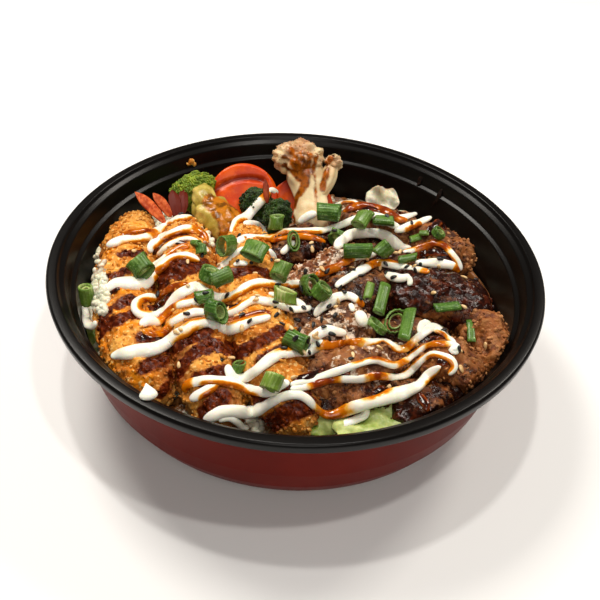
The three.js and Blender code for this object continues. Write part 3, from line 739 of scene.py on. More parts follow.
OTHER_FOOD = ["cauliflower", "broccoli_small_1", "broccoli_small_2", "broccoli_large",
              "carrot_1", "carrot_2", "cabbage_1", "cabbage_2", "lettuce_1", "lettuce_2",
              "lettuce_3", "rice"]
fried_food = [mesh for mesh, _ in [*prawn_meshes.values(), *fried_meshes.values()]]
ground = tree_of(fried_food + [cad_mesh(node) for node in OTHER_FOOD])


def seen(spot, tree=ground):
    """How far from the camera the food is at a place on the picture, and its normal there."""
    place, normal, _, far = tree.ray_cast(Vector(CAMERA_PLACE), Vector(sight(spot)))
    return (far, np.array(normal)) if place else (None, None)


def averaged(values, reach):
    """Each value evened out with its neighbours on both sides."""
    kernel = np.hanning(2 * reach + 3)[1:-1]
    kernel /= kernel.sum()
    padded = np.pad(values, [(reach, reach)] + [(0, 0)] * (values.ndim - 1), mode="edge")
    if values.ndim == 1:
        return np.convolve(padded, kernel, "valid")
    return np.stack([np.convolve(c, kernel, "valid") for c in padded.T], axis=1)


def at_height(spot, height):
    """The place at a height in the line of sight through a place on the picture."""
    way = sight(spot)
    return CAMERA_PLACE + way * (height - CAMERA_PLACE[2]) / way[2]


STEEPEST = 1.5        # how far back a draped route may go from one of its points to the next
ROUTE_STEP = 1.3      # pixels between the points of a draped route


def draped(spots, lift=0.8, reach=5):
    """A route laid over the food along places on the picture, with its outward directions."""
    line = Route([(x, y, 0) for x, y in spots])
    count = max(4, round(line.length / ROUTE_STEP))
    spots = line.along(np.linspace(0, 1, count))[:, :2]
    found = [seen(spot) for spot in spots]
    known = [i for i, (far, _) in enumerate(found) if far is not None]
    far = np.interp(np.arange(count), known, [found[i][0] for i in known])
    for run in (far, far[::-1]):     # from its start, then from its end
        for i in range(1, count):
            run[i] = min(run[i], run[i - 1] + STEEPEST)
    normals = np.stack([np.interp(np.arange(count), known, c)
                        for c in np.array([found[i][1] for i in known]).T], axis=1)
    near = np.array([far[max(0, i - 2):i + 3].min() for i in range(count)])
    level = averaged(np.minimum(averaged(near, reach), far), 2)
    ways = np.array([sight(spot) for spot in spots])
    ups = averaged(normals, 7) + 0.35 * UP - 0.25 * ways
    ups /= np.linalg.norm(ups, axis=1, keepdims=True)
    return CAMERA_PLACE + ways * (level - lift)[:, None], ups


OPEN_WAYS = np.array([(0, 0, 1), (0.75, 0, 0.66), (-0.75, 0, 0.66), (0, 0.75, 0.66),
                      (0, -0.75, 0.66)])


def on_chips(values, chosen):
    """Values for a mesh's vertices, carried over to those of the crumbs that stand on it."""
    per_chip = len(CHIP.vertices)
    return np.concatenate([values, np.repeat(0.45 * values[chosen], per_chip)])


def occlusion_shade(mesh, reach=15.0):
    """How shut in by food each vertex is, from 0 in the open to 1: the finishes paint shade from it.
    """
    points = spots_of(mesh)
    normals = np.zeros(3 * len(points), np.float32)
    mesh.vertices.foreach_get("normal", normals)
    normals = normals.reshape(-1, 3)
    facing = normals @ OPEN_WAYS.T > 0.1
    seats = (points + 0.5 * normals).tolist()
    ways = [Vector(way) for way in OPEN_WAYS]
    shut = np.ones(len(points))
    for i, (seat, faces) in enumerate(zip(seats, facing)):
        tried = [ground.ray_cast(seat, ways[k], reach)[0] is not None
                 for k in np.flatnonzero(faces)]
        if tried:
            shut[i] = sum(tried) / len(tried)
    return shut


# ---- Sauce stripes on the prawns ---------------------------------------------------------

# Each stripe: half its width, then its way over the picture.
STRIPES = [
    (2.4, [(122, 254), (133, 252), (144, 251)]),
    (1.9, [(104, 280), (116, 274), (128, 269)]),
    (2.6, [(100, 326), (106, 313), (118, 304), (133, 299)]),
    (2.6, [(98, 335), (106, 325), (120, 318), (133, 314), (144, 316)]),
    (3.0, [(143, 337), (155, 341), (166, 344)]),
    (2.6, [(144, 369), (152, 363), (160, 361), (167, 359)]),
    (2.0, [(160, 394), (169, 385)]),
    (2.2, [(150, 233), (170, 240), (186, 236)]),
    (4.6, [(157, 281), (170, 276), (185, 270), (205, 262)]),
    (4.0, [(158, 268), (170, 266), (186, 259)]),
    (3.2, [(176, 376), (181, 366), (193, 355), (205, 347), (214, 344), (224, 349)]),
    (2.8, [(169, 349), (181, 343), (195, 337), (208, 329)]),
    (3.0, [(203, 413), (213, 403), (224, 396)]),
    (2.8, [(198, 378), (212, 374), (227, 370)]),
    (3.2, [(224, 275), (238, 272), (252, 270), (266, 272)]),
    (3.0, [(243, 349), (257, 343), (267, 336), (281, 330)]),
    (3.4, [(256, 401), (266, 396), (276, 393), (290, 391), (304, 389)]),
    (3.6, [(262, 428), (275, 421), (285, 414), (299, 409), (312, 405)]),
    (2.6, [(230, 345), (236, 357), (240, 372)]),
    (2.2, [(262, 360), (274, 352), (290, 345)]),
]


def stripe_lines():
    lines = []
    for half, spots in STRIPES:
        points, _ = draped(spots, lift=0.0)
        lines.append((half, points))
    return lines


def nearness(points, lines, blur=1.6):
    """How much of the stripes' sauce each point gets, from 0 to 1."""
    best = np.zeros(len(points))
    for half, line in lines:
        centre = line.mean(axis=0)
        radius = np.linalg.norm(line - centre, axis=1).max() + half + 4 * blur
        close = np.flatnonzero(np.linalg.norm(points - centre, axis=1) < radius)
        if len(close):
            gaps = np.linalg.norm(points[close, None, :] - line[None, :, :], axis=2).min(axis=1)
            share = 1 / (1 + np.exp((gaps - half) / (0.35 * blur)))
            best[close] = np.maximum(best[close], share)
    return best


# ---- Mayonnaise --------------------------------------------------------------------------

# Each ribbon: half its width (or several, spread over its length), its way over the picture,
# then the stretches where amber sauce lies on it as (from, to, side) and how strong it is if
# not 1: side -1 is the far edge of a ribbon that runs to the right, 0 is its whole width.
RIBBONS = [
    (2.7, [(106, 246), (119, 241), (136, 239), (147, 237), (157, 232), (166, 225), (176, 220),
           (192, 216)], [(0.1, 0.35, 0.3), (0.36, 0.5, 0), (0.5, 1, 0.35)]),
    (1.5, [(120, 236), (130, 232), (142, 230), (152, 231)], [(0, 1, 0)]),
    (2.8, [(151, 253), (151, 247), (162, 239), (176, 232), (186, 229), (195, 231), (203, 236),
           (207, 243)], [(0.05, 1, 0.5), (0.74, 1, 0)]),
    (1.7, [(157, 255), (171, 243), (186, 238), (195, 240), (203, 247), (210, 254)],
     [(0, 0.85, -0.55)]),
    (1.9, [(151, 269), (159, 262), (167, 256), (174, 251), (181, 247), (190, 246)],
     [(0, 0.5, 0.5), (0.45, 1, 0)]),
    ((3.2, 3.6, 3.2, 2.8, 2.8),
     [(105, 291), (114, 285), (128, 283), (143, 284), (149, 279), (155, 272), (163, 265), (171, 259),
      (181, 256), (190, 257), (200, 261)], [(0.42, 0.7, 0.6), (0.6, 1, 0.5)]),
    (2.5, [(158, 298), (146, 298), (137, 303), (137, 310), (144, 315), (152, 315), (161, 312),
           (167, 308), (173, 301), (179, 295), (188, 290), (195, 286), (203, 290), (217, 297),
           (229, 297), (238, 293), (248, 286), (257, 283), (265, 283), (281, 285), (296, 284),
           (305, 283)], [(0, 0.24, -0.75), (0.62, 0.8, 0.4), (0.8, 1, 0.6)]),
    (1.7, [(150, 302), (160, 295), (171, 288), (181, 285), (190, 285)], [(0, 1, 0, 1.15)]),
    (2.2, [(140, 326), (147, 321), (157, 321), (163, 317), (169, 311), (178, 305), (188, 302),
           (200, 301), (208, 303)], [(0.28, 0.62, 0), (0.6, 1, -0.5)]),
    (2.2, [(142, 330), (151, 334), (161, 334), (168, 328), (173, 321), (182, 316), (190, 313),
           (200, 312), (209, 313), (228, 313), (238, 309), (246, 303), (254, 300), (265, 301),
           (275, 303), (282, 306), (292, 309), (303, 309), (312, 307)],
     [(0, 0.2, 0), (0.18, 0.32, -0.4), (0.42, 0.64, -0.6)]),
    (3.0, [(110, 357), (119, 354), (133, 352), (147, 350), (159, 347), (168, 342), (176, 336),
           (184, 332), (190, 327), (200, 323), (209, 322), (219, 326), (229, 328), (238, 326),
           (248, 322), (257, 319), (271, 316)], [(0.4, 0.56, 0.4), (0.5, 1, -0.6)]),
    ((2.4, 2.6, 2.2, 2.0, 1.8, 2.2, 1.8),
     [(228, 364), (229, 370), (232, 376), (239, 379), (246, 377), (254, 372), (264, 364), (273, 357),
      (283, 353), (294, 352), (304, 353), (310, 350), (320, 345), (334, 345), (343, 344), (358, 343),
      (372, 342), (385, 341), (392, 345), (398, 349), (406, 348), (415, 340), (425, 332), (433, 327),
      (442, 333), (452, 341), (456, 346)],
     [(0.2, 0.3, -0.8), (0.37, 0.52, 0), (0.52, 0.68, 0.3), (0.67, 0.75, 0), (0.88, 0.98, 0.55)]),
    (1.6, [(290, 385), (300, 383), (311, 381), (317, 378), (328, 374), (338, 371), (347, 368),
           (362, 363), (376, 360), (386, 363), (395, 365), (405, 361), (414, 354), (424, 347),
           (433, 344), (444, 344), (454, 344), (457, 347), (452, 350), (459, 353)],
     [(0.32, 0.56, -0.75), (0.54, 0.62, 0), (0.62, 0.78, -0.6), (0.77, 0.86, 0)]),
    (1.7, [(290, 389), (311, 385), (330, 380), (347, 379), (362, 379), (376, 376), (395, 377),
           (405, 375), (414, 367), (424, 358), (433, 354), (443, 356), (452, 361), (454, 368),
           (448, 375)],
     [(0.1, 0.24, 0, 1.25), (0.38, 0.49, 0, 1.1), (0.6, 0.8, -0.45), (0.78, 1, 0.65)]),
    ((1.9, 3.0, 3.1, 2.5, 1.7, 1.8, 2.4, 2.9, 2.4),
     [(441, 366), (429, 375), (419, 385), (405, 392), (390, 396), (376, 401), (362, 405), (349, 409),
      (340, 413), (330, 415), (322, 413), (314, 406), (307, 399), (299, 395), (290, 395), (280, 398),
      (270, 403), (262, 408), (254, 411), (246, 412), (232, 411), (222, 412), (213, 416), (203, 420)],
     [(0, 0.12, -0.25), (0.2, 0.34, 0.35), (0.39, 0.53, 0)]),
    (1.5, [(218, 421), (229, 418), (237, 422), (243, 427), (249, 427)], []),
    (2.1, [(189, 399), (199, 395), (206, 391), (213, 386), (219, 382)], [(0.3, 1, 0.6)]),
    (2.3, [(184, 393), (187, 385), (199, 381), (208, 380), (222, 381), (237, 384), (246, 388),
           (256, 391), (266, 392), (273, 390), (280, 385), (290, 382)],
     [(0, 0.12, 0), (0.2, 0.75, 0.6)]),
    (2.0, [(368, 407), (365, 415), (357, 419), (347, 423), (339, 427)], []),
    ((1.9, 2.8, 2.8, 2.3),
     [(270, 190), (265, 197), (258, 204), (251, 212), (245, 218), (237, 222), (234, 228), (231, 233)],
     [(0.05, 0.2, 0), (0.6, 1, -0.9)]),
    (2.0, [(243, 224), (250, 223), (257, 225), (262, 229), (266, 234)], []),
    (1.8, [(268, 191), (273, 190), (278, 194)], []),
    (2.1, [(236, 244), (242, 239), (252, 237), (266, 238), (276, 236), (283, 232), (295, 231),
           (314, 231), (329, 229), (338, 226), (348, 222), (358, 218), (367, 216), (376, 215),
           (384, 218), (391, 224), (400, 227)], [(0.12, 0.5, 0.7), (0.2, 0.3, -0.8)]),
    (1.7, [(270, 241), (284, 238), (300, 236), (314, 238), (326, 242)], [(0, 1, 0)]),
    (2.1, [(298, 223), (303, 219), (310, 215), (317, 213)], []),
    (1.9, [(218, 273), (221, 267), (228, 261), (234, 255), (241, 250), (248, 248)], []),
    (1.6, [(233, 265), (240, 263), (248, 264)], []),
    (1.7, [(268, 249), (272, 254), (275, 261)], []),
    (1.7, [(281, 254), (288, 247), (295, 241)], []),
    (2.0, [(332, 206), (343, 203), (352, 202), (359, 204)], [(0.5, 1, 0.5)]),
    (2.4, [(343, 212), (353, 207), (367, 205), (376, 207), (384, 210), (391, 215), (398, 219),
           (408, 220)], [(0, 1, 0, 1.1)]),
    (1.8, [(380, 205), (387, 210), (392, 216), (400, 218), (408, 216), (417, 213)], []),
    (2.3, [(394, 231), (405, 228), (415, 224), (422, 221), (432, 217)], [(0.2, 0.6, 0.7)]),
    (2.8, [(335, 249), (343, 240), (353, 234), (367, 233), (381, 234), (389, 238), (396, 244),
           (402, 248), (412, 248)], []),
    (2.0, [(403, 252), (415, 250), (424, 247), (434, 243), (443, 245), (451, 253), (457, 261),
           (461, 271)], [(0, 0.25, -0.3), (0.22, 0.7, 0), (0.7, 1, 0.3)]),
    (2.0, [(315, 276), (329, 270), (340, 266), (347, 261), (355, 257), (366, 255), (377, 253)],
     [(0, 0.55, 0), (0.5, 0.8, -0.8)]),
    (2.4, [(335, 287), (342, 282), (350, 277), (360, 271), (369, 266), (377, 263), (385, 263),
           (396, 265), (406, 267), (415, 269), (430, 272)],
     [(0.38, 0.52, 0), (0.5, 0.9, -0.6), (0.94, 1, 0)]),
    (2.4, [(415, 263), (430, 263), (444, 264), (453, 266), (460, 272)], [(0.85, 1, 0)]),
    (2.3, [(386, 273), (394, 277), (403, 278), (410, 275)], []),
    (1.4, [(408, 276), (410, 281), (409, 286)], []),
    (2.3, [(315, 317), (319, 310), (327, 304), (334, 299), (342, 296), (350, 296), (358, 301),
           (364, 307)], [(0.85, 1, 0)]),
    (3.6, [(356, 321), (361, 319), (367, 317)], []),
    (1.5, [(350, 303), (352, 308), (353, 312)], []),
    (2.3, [(306, 343), (312, 338), (320, 333), (328, 330), (339, 332), (347, 333)], []),
    (2.2, [(308, 352), (314, 347), (324, 341)], []),
    (2.3, [(76, 306), (80, 315), (85, 322), (92, 326), (97, 322)], []),
    (1.8, [(433, 326), (424, 323), (421, 330), (423, 336)], []),
    (1.6, [(268, 293), (282, 297), (296, 301), (306, 307)], []),
    (1.5, [(212, 318), (224, 321), (238, 319), (252, 314), (262, 312), (272, 313)],
     [(0, 1, 0, 1.15)]),
]


AMBER_EASE = 0.035               # share of a ribbon over which its amber sauce sets in


def amber_on(t, across, stretches):
    """How much amber sauce lies at each point of a ribbon."""
    most = np.zeros(len(t))
    for start, end, side, *strength in stretches:
        begun = 1 / (1 + np.exp((start - t) / AMBER_EASE * 2))
        going = 1 / (1 + np.exp((t - end) / AMBER_EASE * 2))
        if side == 0:
            width = np.ones(len(t))
        else:
            width = np.clip(0.5 + (across * np.sign(side) - 0.9 + abs(side)) * 1.3, 0, 1)
        most = np.maximum(most, begun * going * width * (strength[0] if strength else 1))
    return most


def ribbon_mesh(index, half, spots, stretches):
    points, ups = draped(spots)
    halves = np.atleast_1d(half)
    half = halves.max()
    route = Route(inside_bowl(points, 0.7 * half), ups)
    rings = max(10, round(route.length / 0.8))
    fullness = 2 + route.length / half / 2.5
    seed = 0.37 * index

    def swell(t):
        width = np.interp(t, np.linspace(0, 1, len(halves)), halves) / half
        return width * (1 + 0.1 * np.sin(TAU * (1.3 * t * route.length / 30 + seed)))

    bm, outward, t, _, angle = stretched(
        route, 0.94 * half, 0.52 * half, 12, rings, fullness, swell)
    skin = places(bm)
    wobble = 0.16 * soft_noise(skin, 4.5, seed)
    move(bm, inside_bowl(skin + outward * wobble[:, None]))
    amber = amber_on(t, np.cos(angle), stretches)
    mesh = to_mesh(bm, "ribbon")
    keep(mesh, amber=amber)
    return mesh


# Pools of dark sauce beside the ribbons, some of them painted shadow under the ribbons: half a width
# and a way over the picture.
POOLS = [
    (2.4, [(147, 305), (152, 309), (158, 307), (164, 302), (170, 296), (176, 291)]),
    (1.8, [(153, 255), (160, 248), (168, 245), (180, 243), (189, 247)]),
    # This pool and the next are painted shadow under the ribbons, laid as dark sauce.
    (1.7, [(137, 335), (146, 338), (156, 338), (163, 337)]),
    (1.3, [(212, 300), (222, 306), (232, 307), (240, 303)]),
    (1.6, [(310, 379), (322, 375), (336, 373), (350, 374)]),
    (1.9, [(372, 397), (378, 392), (384, 387)]),
    (1.7, [(424, 347), (434, 340), (444, 338), (452, 342)]),
    (2.2, [(436, 361), (443, 362), (449, 362)]),
    (2.0, [(408, 258), (422, 254), (438, 252), (450, 254), (457, 259)]),
    (1.8, [(341, 271), (348, 262), (358, 256), (368, 253)]),
    (1.6, [(355, 212), (368, 209), (380, 211), (390, 217)]),
    (2.0, [(425, 235), (433, 228), (440, 222), (446, 230)]),
    (1.5, [(250, 376), (262, 368), (274, 361), (286, 357)]),
    (1.7, [(262, 408), (272, 402), (284, 399)]),
    (1.4, [(196, 383), (207, 385), (218, 386)]),
    (1.8, [(292, 381), (304, 378), (316, 374), (324, 368)]),
    (1.6, [(104, 296), (112, 293), (120, 288)]),
    (1.7, [(416, 392), (424, 402), (427, 412)]),
    (1.8, [(170, 222), (180, 216), (190, 212)]),
]


def pool_finish():
    """Thick brown sauce, also standing as painted shadow under the ribbons: almost black where it is
    deep and amber where it thins out.
    """
    finish = Finish("brown_sauce", 0.12, Specular_IOR_Level=0.42)
    thin = finish.sums("ADD", finish.layer("thin"), finish.band(finish.grain(3, 3), 0.3, 0.7))
    colour = finish.blend(finish.band(thin, 0.6, 1.3), tone(34, 9, 4), tone(96, 34, 8))
    finish.paint(finish.blend(finish.band(thin, 1.3, 1.8), colour, tone(150, 70, 12)))
    finish.relief(finish.grain(2.2, 2), 0.3, 0.5)
    return finish.material


def make_pools():
    meshes = []
    for half, spots in POOLS:
        points, ups = draped(spots, lift=0.1)
        line = Route(points, ups)
        bm, outward, t, _, angle = stretched(line, half, 0.9, 28, max(24, round(line.length)), 2.6)
        skin = places(bm)
        ragged = 0.8 * np.abs(np.cos(angle)) * soft_noise(skin, 3.2, half)
        move(bm, inside_bowl(skin + outward * ragged[:, None]))
        mesh = to_mesh(bm, "pool")
        keep(mesh, thin=np.maximum(np.abs(np.cos(angle)) ** 2, np.abs(2 * t - 1) ** 4))
        meshes.append(mesh)
    show("brown_sauce", joined("brown_sauce", meshes), [pool_finish()], "crumb")


def make_mayonnaise():
    finish = mayonnaise_finish()
    meshes = [ribbon_mesh(i, *spec) for i, spec in enumerate(RIBBONS)]
    show("mayonnaise", joined("mayonnaise", meshes), [finish], "crumb")
    return finish


# ---- The food pieces ---------------------------------------------------------------------

BARE_FOLD = (438, 320)          # where on the picture the glazed piece shows its crust
TOASTED = {"prawn_1": 0.0, "prawn_2": 0.2, "prawn_3": 0.15}


def make_prawns():
    lines = stripe_lines()
    for name, (mesh, relief) in prawn_meshes.items():
        whole, chosen = with_chips(mesh, 1100, 0.9, rng)
        points = spots_of(whole)
        extra = len(points) - len(relief)
        keep(whole,
             relief=np.concatenate([relief, rng.uniform(0, 0.5, extra)]),
             # Browner by prawn and by chance, and more so lower down, which is painted shade.
             toast=np.clip(0.45 + TOASTED[name] + soft_noise(points, 22, 4)
                           + 0.02 * (40 - points[:, 2]), 0, 1),
             # Painted shade where food shuts the crumb in.
             sauce=nearness(points, lines), shut=on_chips(occlusion_shade(mesh), chosen))
        show(f"{name}_breaded", whole, [CRUMB], "crumb", name)


def make_fried():
    for (name, (mesh, relief)), spec in zip(fried_meshes.items(), FRIED):
        glaze, flour, warm = spec[3:]
        whole, chosen = with_chips(mesh, round(370 - 310 * glaze), 0.85, rng)
        points = spots_of(whole)
        extra = len(points) - len(relief)
        tints = np.repeat(rng.uniform(-0.7, 1.1, len(chosen)), len(CHIP.vertices))
        bare = on_picture(points) - BARE_FOLD
        bare = np.exp(-(bare[:, 0] / 22) ** 2 - (bare[:, 1] / 13) ** 2)
        keep(whole,
             relief=np.concatenate([relief, rng.uniform(0, 0.4, extra)]),
             glaze=(glaze + 0.3 * soft_noise(points, 12, 2) + 0.012 * (46 - points[:, 2])
                    - 0.7 * bare),
             # Painted shade where food shuts the batter in.
             shut=on_chips(occlusion_shade(mesh), chosen),
             flour=flour + 0.25 * soft_noise(points, 9, 6),
             tint=np.concatenate([np.zeros(len(relief)), tints]),
             warm=np.full(len(points), warm))
        show(f"{name}_battered", whole, [BATTER], "batter", name)


# ---- Prawn tails -------------------------------------------------------------------------

# Each fin: root and tip as (across, down, height), half width, then how red-brown it is.
FINS = [
    ((165, 223, 50), (135, 192, 57), 3.2, 0.1), ((171, 217, 51), (153, 193, 58), 2.9, 0.2),
    ((177, 219, 49), (172, 190, 56), 3.6, 1.3), ((183, 214, 50), (183, 189, 55), 3.0, 1.3),
    ((267, 203, 55), (265, 179, 62), 1.7, 0.6),
]


def fin_finish():
    finish = Finish("prawn_tail", 0.5, Specular_IOR_Level=0.12)
    red = finish.blend(finish.band(finish.grain(3, 3), 0.35, 0.7), tone(164, 54, 18),
                       tone(214, 104, 50))
    ribs = finish.band(finish.grain(1.2, 2, stretch=(1, 6, 1)), 0.5, 0.75)
    red = finish.blend(ribs, red, tone(208, 106, 56))
    finish.paint(finish.blend(finish.layer("dark"), red, tone(92, 24, 8)))
    finish.relief(finish.grain(1.2, 3, stretch=(1, 5, 1)), 0.1, 0.4)
    return finish.material


def make_tails():
    meshes = []
    for root, tip, half, dark in FINS:
        start, end = at_height(root[:2], root[2]), at_height(tip[:2], tip[2])
        facing = np.array([0.15, -0.6, 0.8])
        line = Route([start, (start + end) / 2 + [0, 0, 0.8], end], [facing, facing])
        bm, outward, t, _, angle = stretched(
            line, half, 0.8, 24, 52, 3.0, lambda t: (0.55 + 0.6 * t) * (1 - t ** 3) ** 0.6 + 0.05)
        skin = places(bm)
        ridge = 0.25 * np.cos(5 * np.arccos(np.clip(np.cos(angle), -1, 1)))
        ridge += 0.25 * soft_noise(skin, 3.0, half)
        move(bm, skin + outward * ridge[:, None])
        mesh = to_mesh(bm, "fin")
        keep(mesh, dark=np.clip(dark + 0.5 * soft_noise(spots_of(mesh), 6, 2), 0, 1))
        meshes.append(mesh)
    show("prawn_tails", joined("prawn_tails", meshes), [fin_finish()], "crumb")


# ---- Bowl --------------------------------------------------------------------------------

def rounded(corners, radius):
    """A line of (radius, height) points with each corner turned into a short arc."""
    line = [corners[0]]
    for before, corner, after in zip(corners, corners[1:], corners[2:]):
        before, corner, after = map(np.array, (before, corner, after))
        cut = [min(radius, 0.45 * np.linalg.norm(p - corner)) for p in (before, after)]
        ends = [corner + (p - corner) / np.linalg.norm(p - corner) * c
                for p, c in zip((before, after), cut)]
        for s in (0.0, 0.33, 0.67, 1.0):
            line.append(tuple((1 - s) ** 2 * ends[0] + 2 * s * (1 - s) * corner
                              + s * s * ends[1]))
    return line + [corners[-1]]


def make_bowl():
    section = rounded(OUTSIDE + LIP + INNER_WALL[::-1], CORNER)
    bm = bmesh.new()
    verts = [bm.verts.new((max(r, 0.0), 0, z)) for r, z in section]
    edges = [bm.edges.new(pair) for pair in zip(verts, verts[1:])]
    bmesh.ops.spin(bm, geom=verts + edges, cent=(0, 0, 0), axis=(0, 0, 1), angle=TAU,
                   steps=BOWL_TURNS, use_merge=True)
    mesh = to_mesh(bm, "bowl")
    heights = np.array([p.center for p in mesh.polygons]) / MM
    ways = np.array([p.normal for p in mesh.polygons])
    radius = np.hypot(heights[:, 0], heights[:, 1])
    outward = (heights[:, :2] * ways[:, :2]).sum(axis=1)
    red = ((outward > 0) & (heights[:, 2] < 55.4) & (radius < 104)) | (heights[:, 2] < 1.1)
    mesh.polygons.foreach_set("material_index", red.astype(np.int32))
    black = bowl_finish("bowl_black", tone(9, 7, 6), tone(14, 11, 10), 0.28, 0.16)
    dark_red = bowl_finish("bowl_red", tone(92, 15, 5), tone(106, 21, 9), 0.4, 0.07)
    show("bowl_shell", mesh, [black, dark_red], "bowl", "bowl")


# ---- Rice --------------------------------------------------------------------------------

GRAIN = (6.0, 1.5)              # length and half thickness of a cooked grain
GRAIN_TRIES = 4400
HEAP_RADIUS = 96.6              # grains are tried within this, and drawn in to the next one
GRAINS_WITHIN = 96.0
COVER_REACH = 7                 # a grain is left out when food covers it this far around
ABOVE = 120                     # a height above all food
FARTHEST_GRAIN = 420            # from the camera


def grain_mesh():
    length, thick = GRAIN
    line = Route([(-length / 2, 0, 0), (0, 0.25, 0.15), (length / 2, 0, 0)])
    bm, *_ = stretched(line, thick, 0.9 * thick, 7, 6, 2.6)
    return to_mesh(bm, "grain")


def rice_core():
    """The heap under the grains: the frame's own heap, made finer and uneven."""
    bm = bmesh.new()
    bm.from_mesh(frame["nodes"]["rice"].data)
    bmesh.ops.remove_doubles(bm, verts=bm.verts, dist=1e-6)
    bmesh.ops.subdivide_edges(bm, edges=bm.edges, cuts=3, use_grid_fill=True)
    bmesh.ops.triangulate(bm, faces=bm.faces)
    bmesh.ops.scale(bm, vec=(1 / MM,) * 3, verts=bm.verts)
    skin = places(bm)
    top = np.clip((skin[:, 2] - 14) / 8, 0, 1)
    skin[:, 2] += top * (0.9 * soft_noise(skin, 5, 1) - 0.7)
    move(bm, skin)
    return to_mesh(bm, "rice_core")


# Boxes on the picture where grains are seen, and how many each has. They lie on whatever food
# the camera sees there, so many of those at the left lie on prawn_1 and not on rice. That is a
# known fault.
RICE_SHOWING = [
    ((88, 262, 106, 312), 100), ((90, 236, 100, 262), 34), ((108, 216, 116, 232), 10),
    ((206, 232, 215, 245), 8), ((176, 404, 184, 416), 7), ((215, 240, 222, 252), 4),
]


def grains_showing(food, draw):
    """Seats and outward directions of the grains in those boxes, on any food seen there."""
    seats, ups = [], []
    for (left, top, right, bottom), count in RICE_SHOWING:
        for _ in range(count):
            spot = draw.uniform(left, right), draw.uniform(top, bottom)
            far, normal = seen(spot, food)
            if far is not None and far < FARTHEST_GRAIN:
                seats.append(CAMERA_PLACE + sight(spot) * (far - 0.4))
                ups.append(normal)
    return seats, ups


def make_rice():
    heap = tree_of([cad_mesh("rice")])
    cover = tree_of(fried_food)
    draw = np.random.default_rng(21)
    around = [(0, 0), (COVER_REACH, 0), (-COVER_REACH, 0), (0, COVER_REACH), (0, -COVER_REACH)]
    seats, ups = [], []
    for _ in range(GRAIN_TRIES):
        radius, angle = HEAP_RADIUS * math.sqrt(draw.uniform()), draw.uniform(0, TAU)
        x, y = radius * math.cos(angle), radius * math.sin(angle)
        place, normal, _, _ = heap.ray_cast(Vector((x, y, ABOVE)), Vector((0, 0, -1)))
        if not place or normal.z < 0.3:
            continue
        shut = [cover.ray_cast(Vector((x + dx, y + dy, ABOVE)), Vector((0, 0, -1)))[0]
                for dx, dy in around]
        if all(shut):
            continue
        seats.append((x, y, place.z + draw.uniform(-0.7, 0.9)))
        ups.append(normal)
    seats = np.array(seats)
    reach = np.hypot(seats[:, 0], seats[:, 1])
    limit = GRAINS_WITHIN - GRAIN[0] / 2 * 0.8
    seats[:, :2] *= np.minimum(1, limit / np.maximum(reach, 1e-6))[:, None]
    more, more_ups = grains_showing(ground, draw)
    seats = inside_bowl(np.concatenate([seats, more]), 2.2)
    ups += more_ups
    turns = upright(np.array(ups), draw, 0.35)
    grains = copies("grains", grain_mesh(), turns, seats, draw.uniform(0.85, 1.1, len(seats)))
    whole = joined("rice", [rice_core(), grains])
    points = spots_of(whole)
    # Browner towards the right: partly sauce, partly painted shade among the pieces.
    side = np.clip((points[:, 0] + 60) / 50, 0, 1)
    # Painted shade: browner along the front.
    side = np.maximum(side, np.clip((-58 - points[:, 1]) / 15, 0, 1))
    keep(whole, stain=0.25 + 0.75 * side + 0.3 * soft_noise(points, 14, 3))
    show("rice_grains", whole, [rice_finish()], "rice", "rice")


# ---- Vegetables --------------------------------------------------------------------------

def dome(centre, facing, radius, depth, knob, relief, seed, around, along):
    """The solids' dome of florets, at a finer mesh. Returns the points' outward directions."""
    bm = ball(around, along)
    unit = places(bm)
    skin = 1 + (relief / radius) * bumps(unit[:, [0, 2, 1]] * radius, knob, seed)
    shaped = unit[:, [0, 2, 1]] * skin[:, None] * [radius, depth, radius]
    turn = Vector((0, 1, 0)).rotation_difference(Vector(facing).normalized()).to_matrix()
    turn = np.array(turn)
    outward = unit[:, [0, 2, 1]] @ turn.T
    move(bm, shaped @ turn.T + np.array(centre))
    return bm, outward, outward @ np.array(Vector(facing).normalized())


def bud_mesh():
    bm = bmesh.new()
    bmesh.ops.create_icosphere(bm, subdivisions=1, radius=1)
    return to_mesh(bm, "bud")


BUD = bud_mesh()


def crown(name, centre, facing, radius, depth, knob, relief, seed, bud, count, draw):
    """A crown of florets under small buds."""
    bm, outward, facing_out = dome(centre, facing, radius, depth, knob, relief, seed, 72, 48)
    skin = places(bm)
    lumps = knobs(skin, 0.75 * knob, seed) - 0.5
    fine = knobs(skin, 2.2 * bud, seed) - 0.5
    move(bm, skin + outward * (1.6 * lumps + 0.9 * bud * fine)[:, None])
    mesh = to_mesh(bm, name)
    points = spots_of(mesh)
    normals = np.array([v.normal for v in mesh.vertices])
    open_side = np.flatnonzero(facing_out[:len(points)] > -0.25)
    chosen = draw.choice(open_side, min(count, len(open_side)), replace=False)
    sizes = bud * draw.uniform(0.6, 1.15, len(chosen))
    seats = points[chosen] + normals[chosen] * (0.3 * bud)
    buds = copies("buds", BUD, upright(normals[chosen], draw), seats, sizes)
    whole = joined(name, [mesh, buds])
    extra = len(whole.vertices) - len(lumps)
    per_bud = extra // len(chosen)
    relief_here = np.concatenate([lumps + 0.4 * fine, np.repeat(lumps[chosen] + 0.25, per_bud)])
    keep(whole, relief=relief_here)
    return whole


def stalk(name, route, width, height, swell=even(1.0), around=48, along=60, rough=0.35, seed=1,
          ridge=0.25):
    line = Route(route)
    bm, outward, t, section, angle = stretched(line, width, height, around, along, 3.0, swell)
    skin = places(bm)
    grooves = ridge * np.cos(7 * angle + 3 * np.sin(4 * t)) + rough * soft_noise(skin, 4.5, seed)
    move(bm, skin + outward * (grooves * np.minimum(1, 2 * section))[:, None])
    mesh = to_mesh(bm, name)
    keep(mesh, relief=grooves * 0.4)
    return mesh


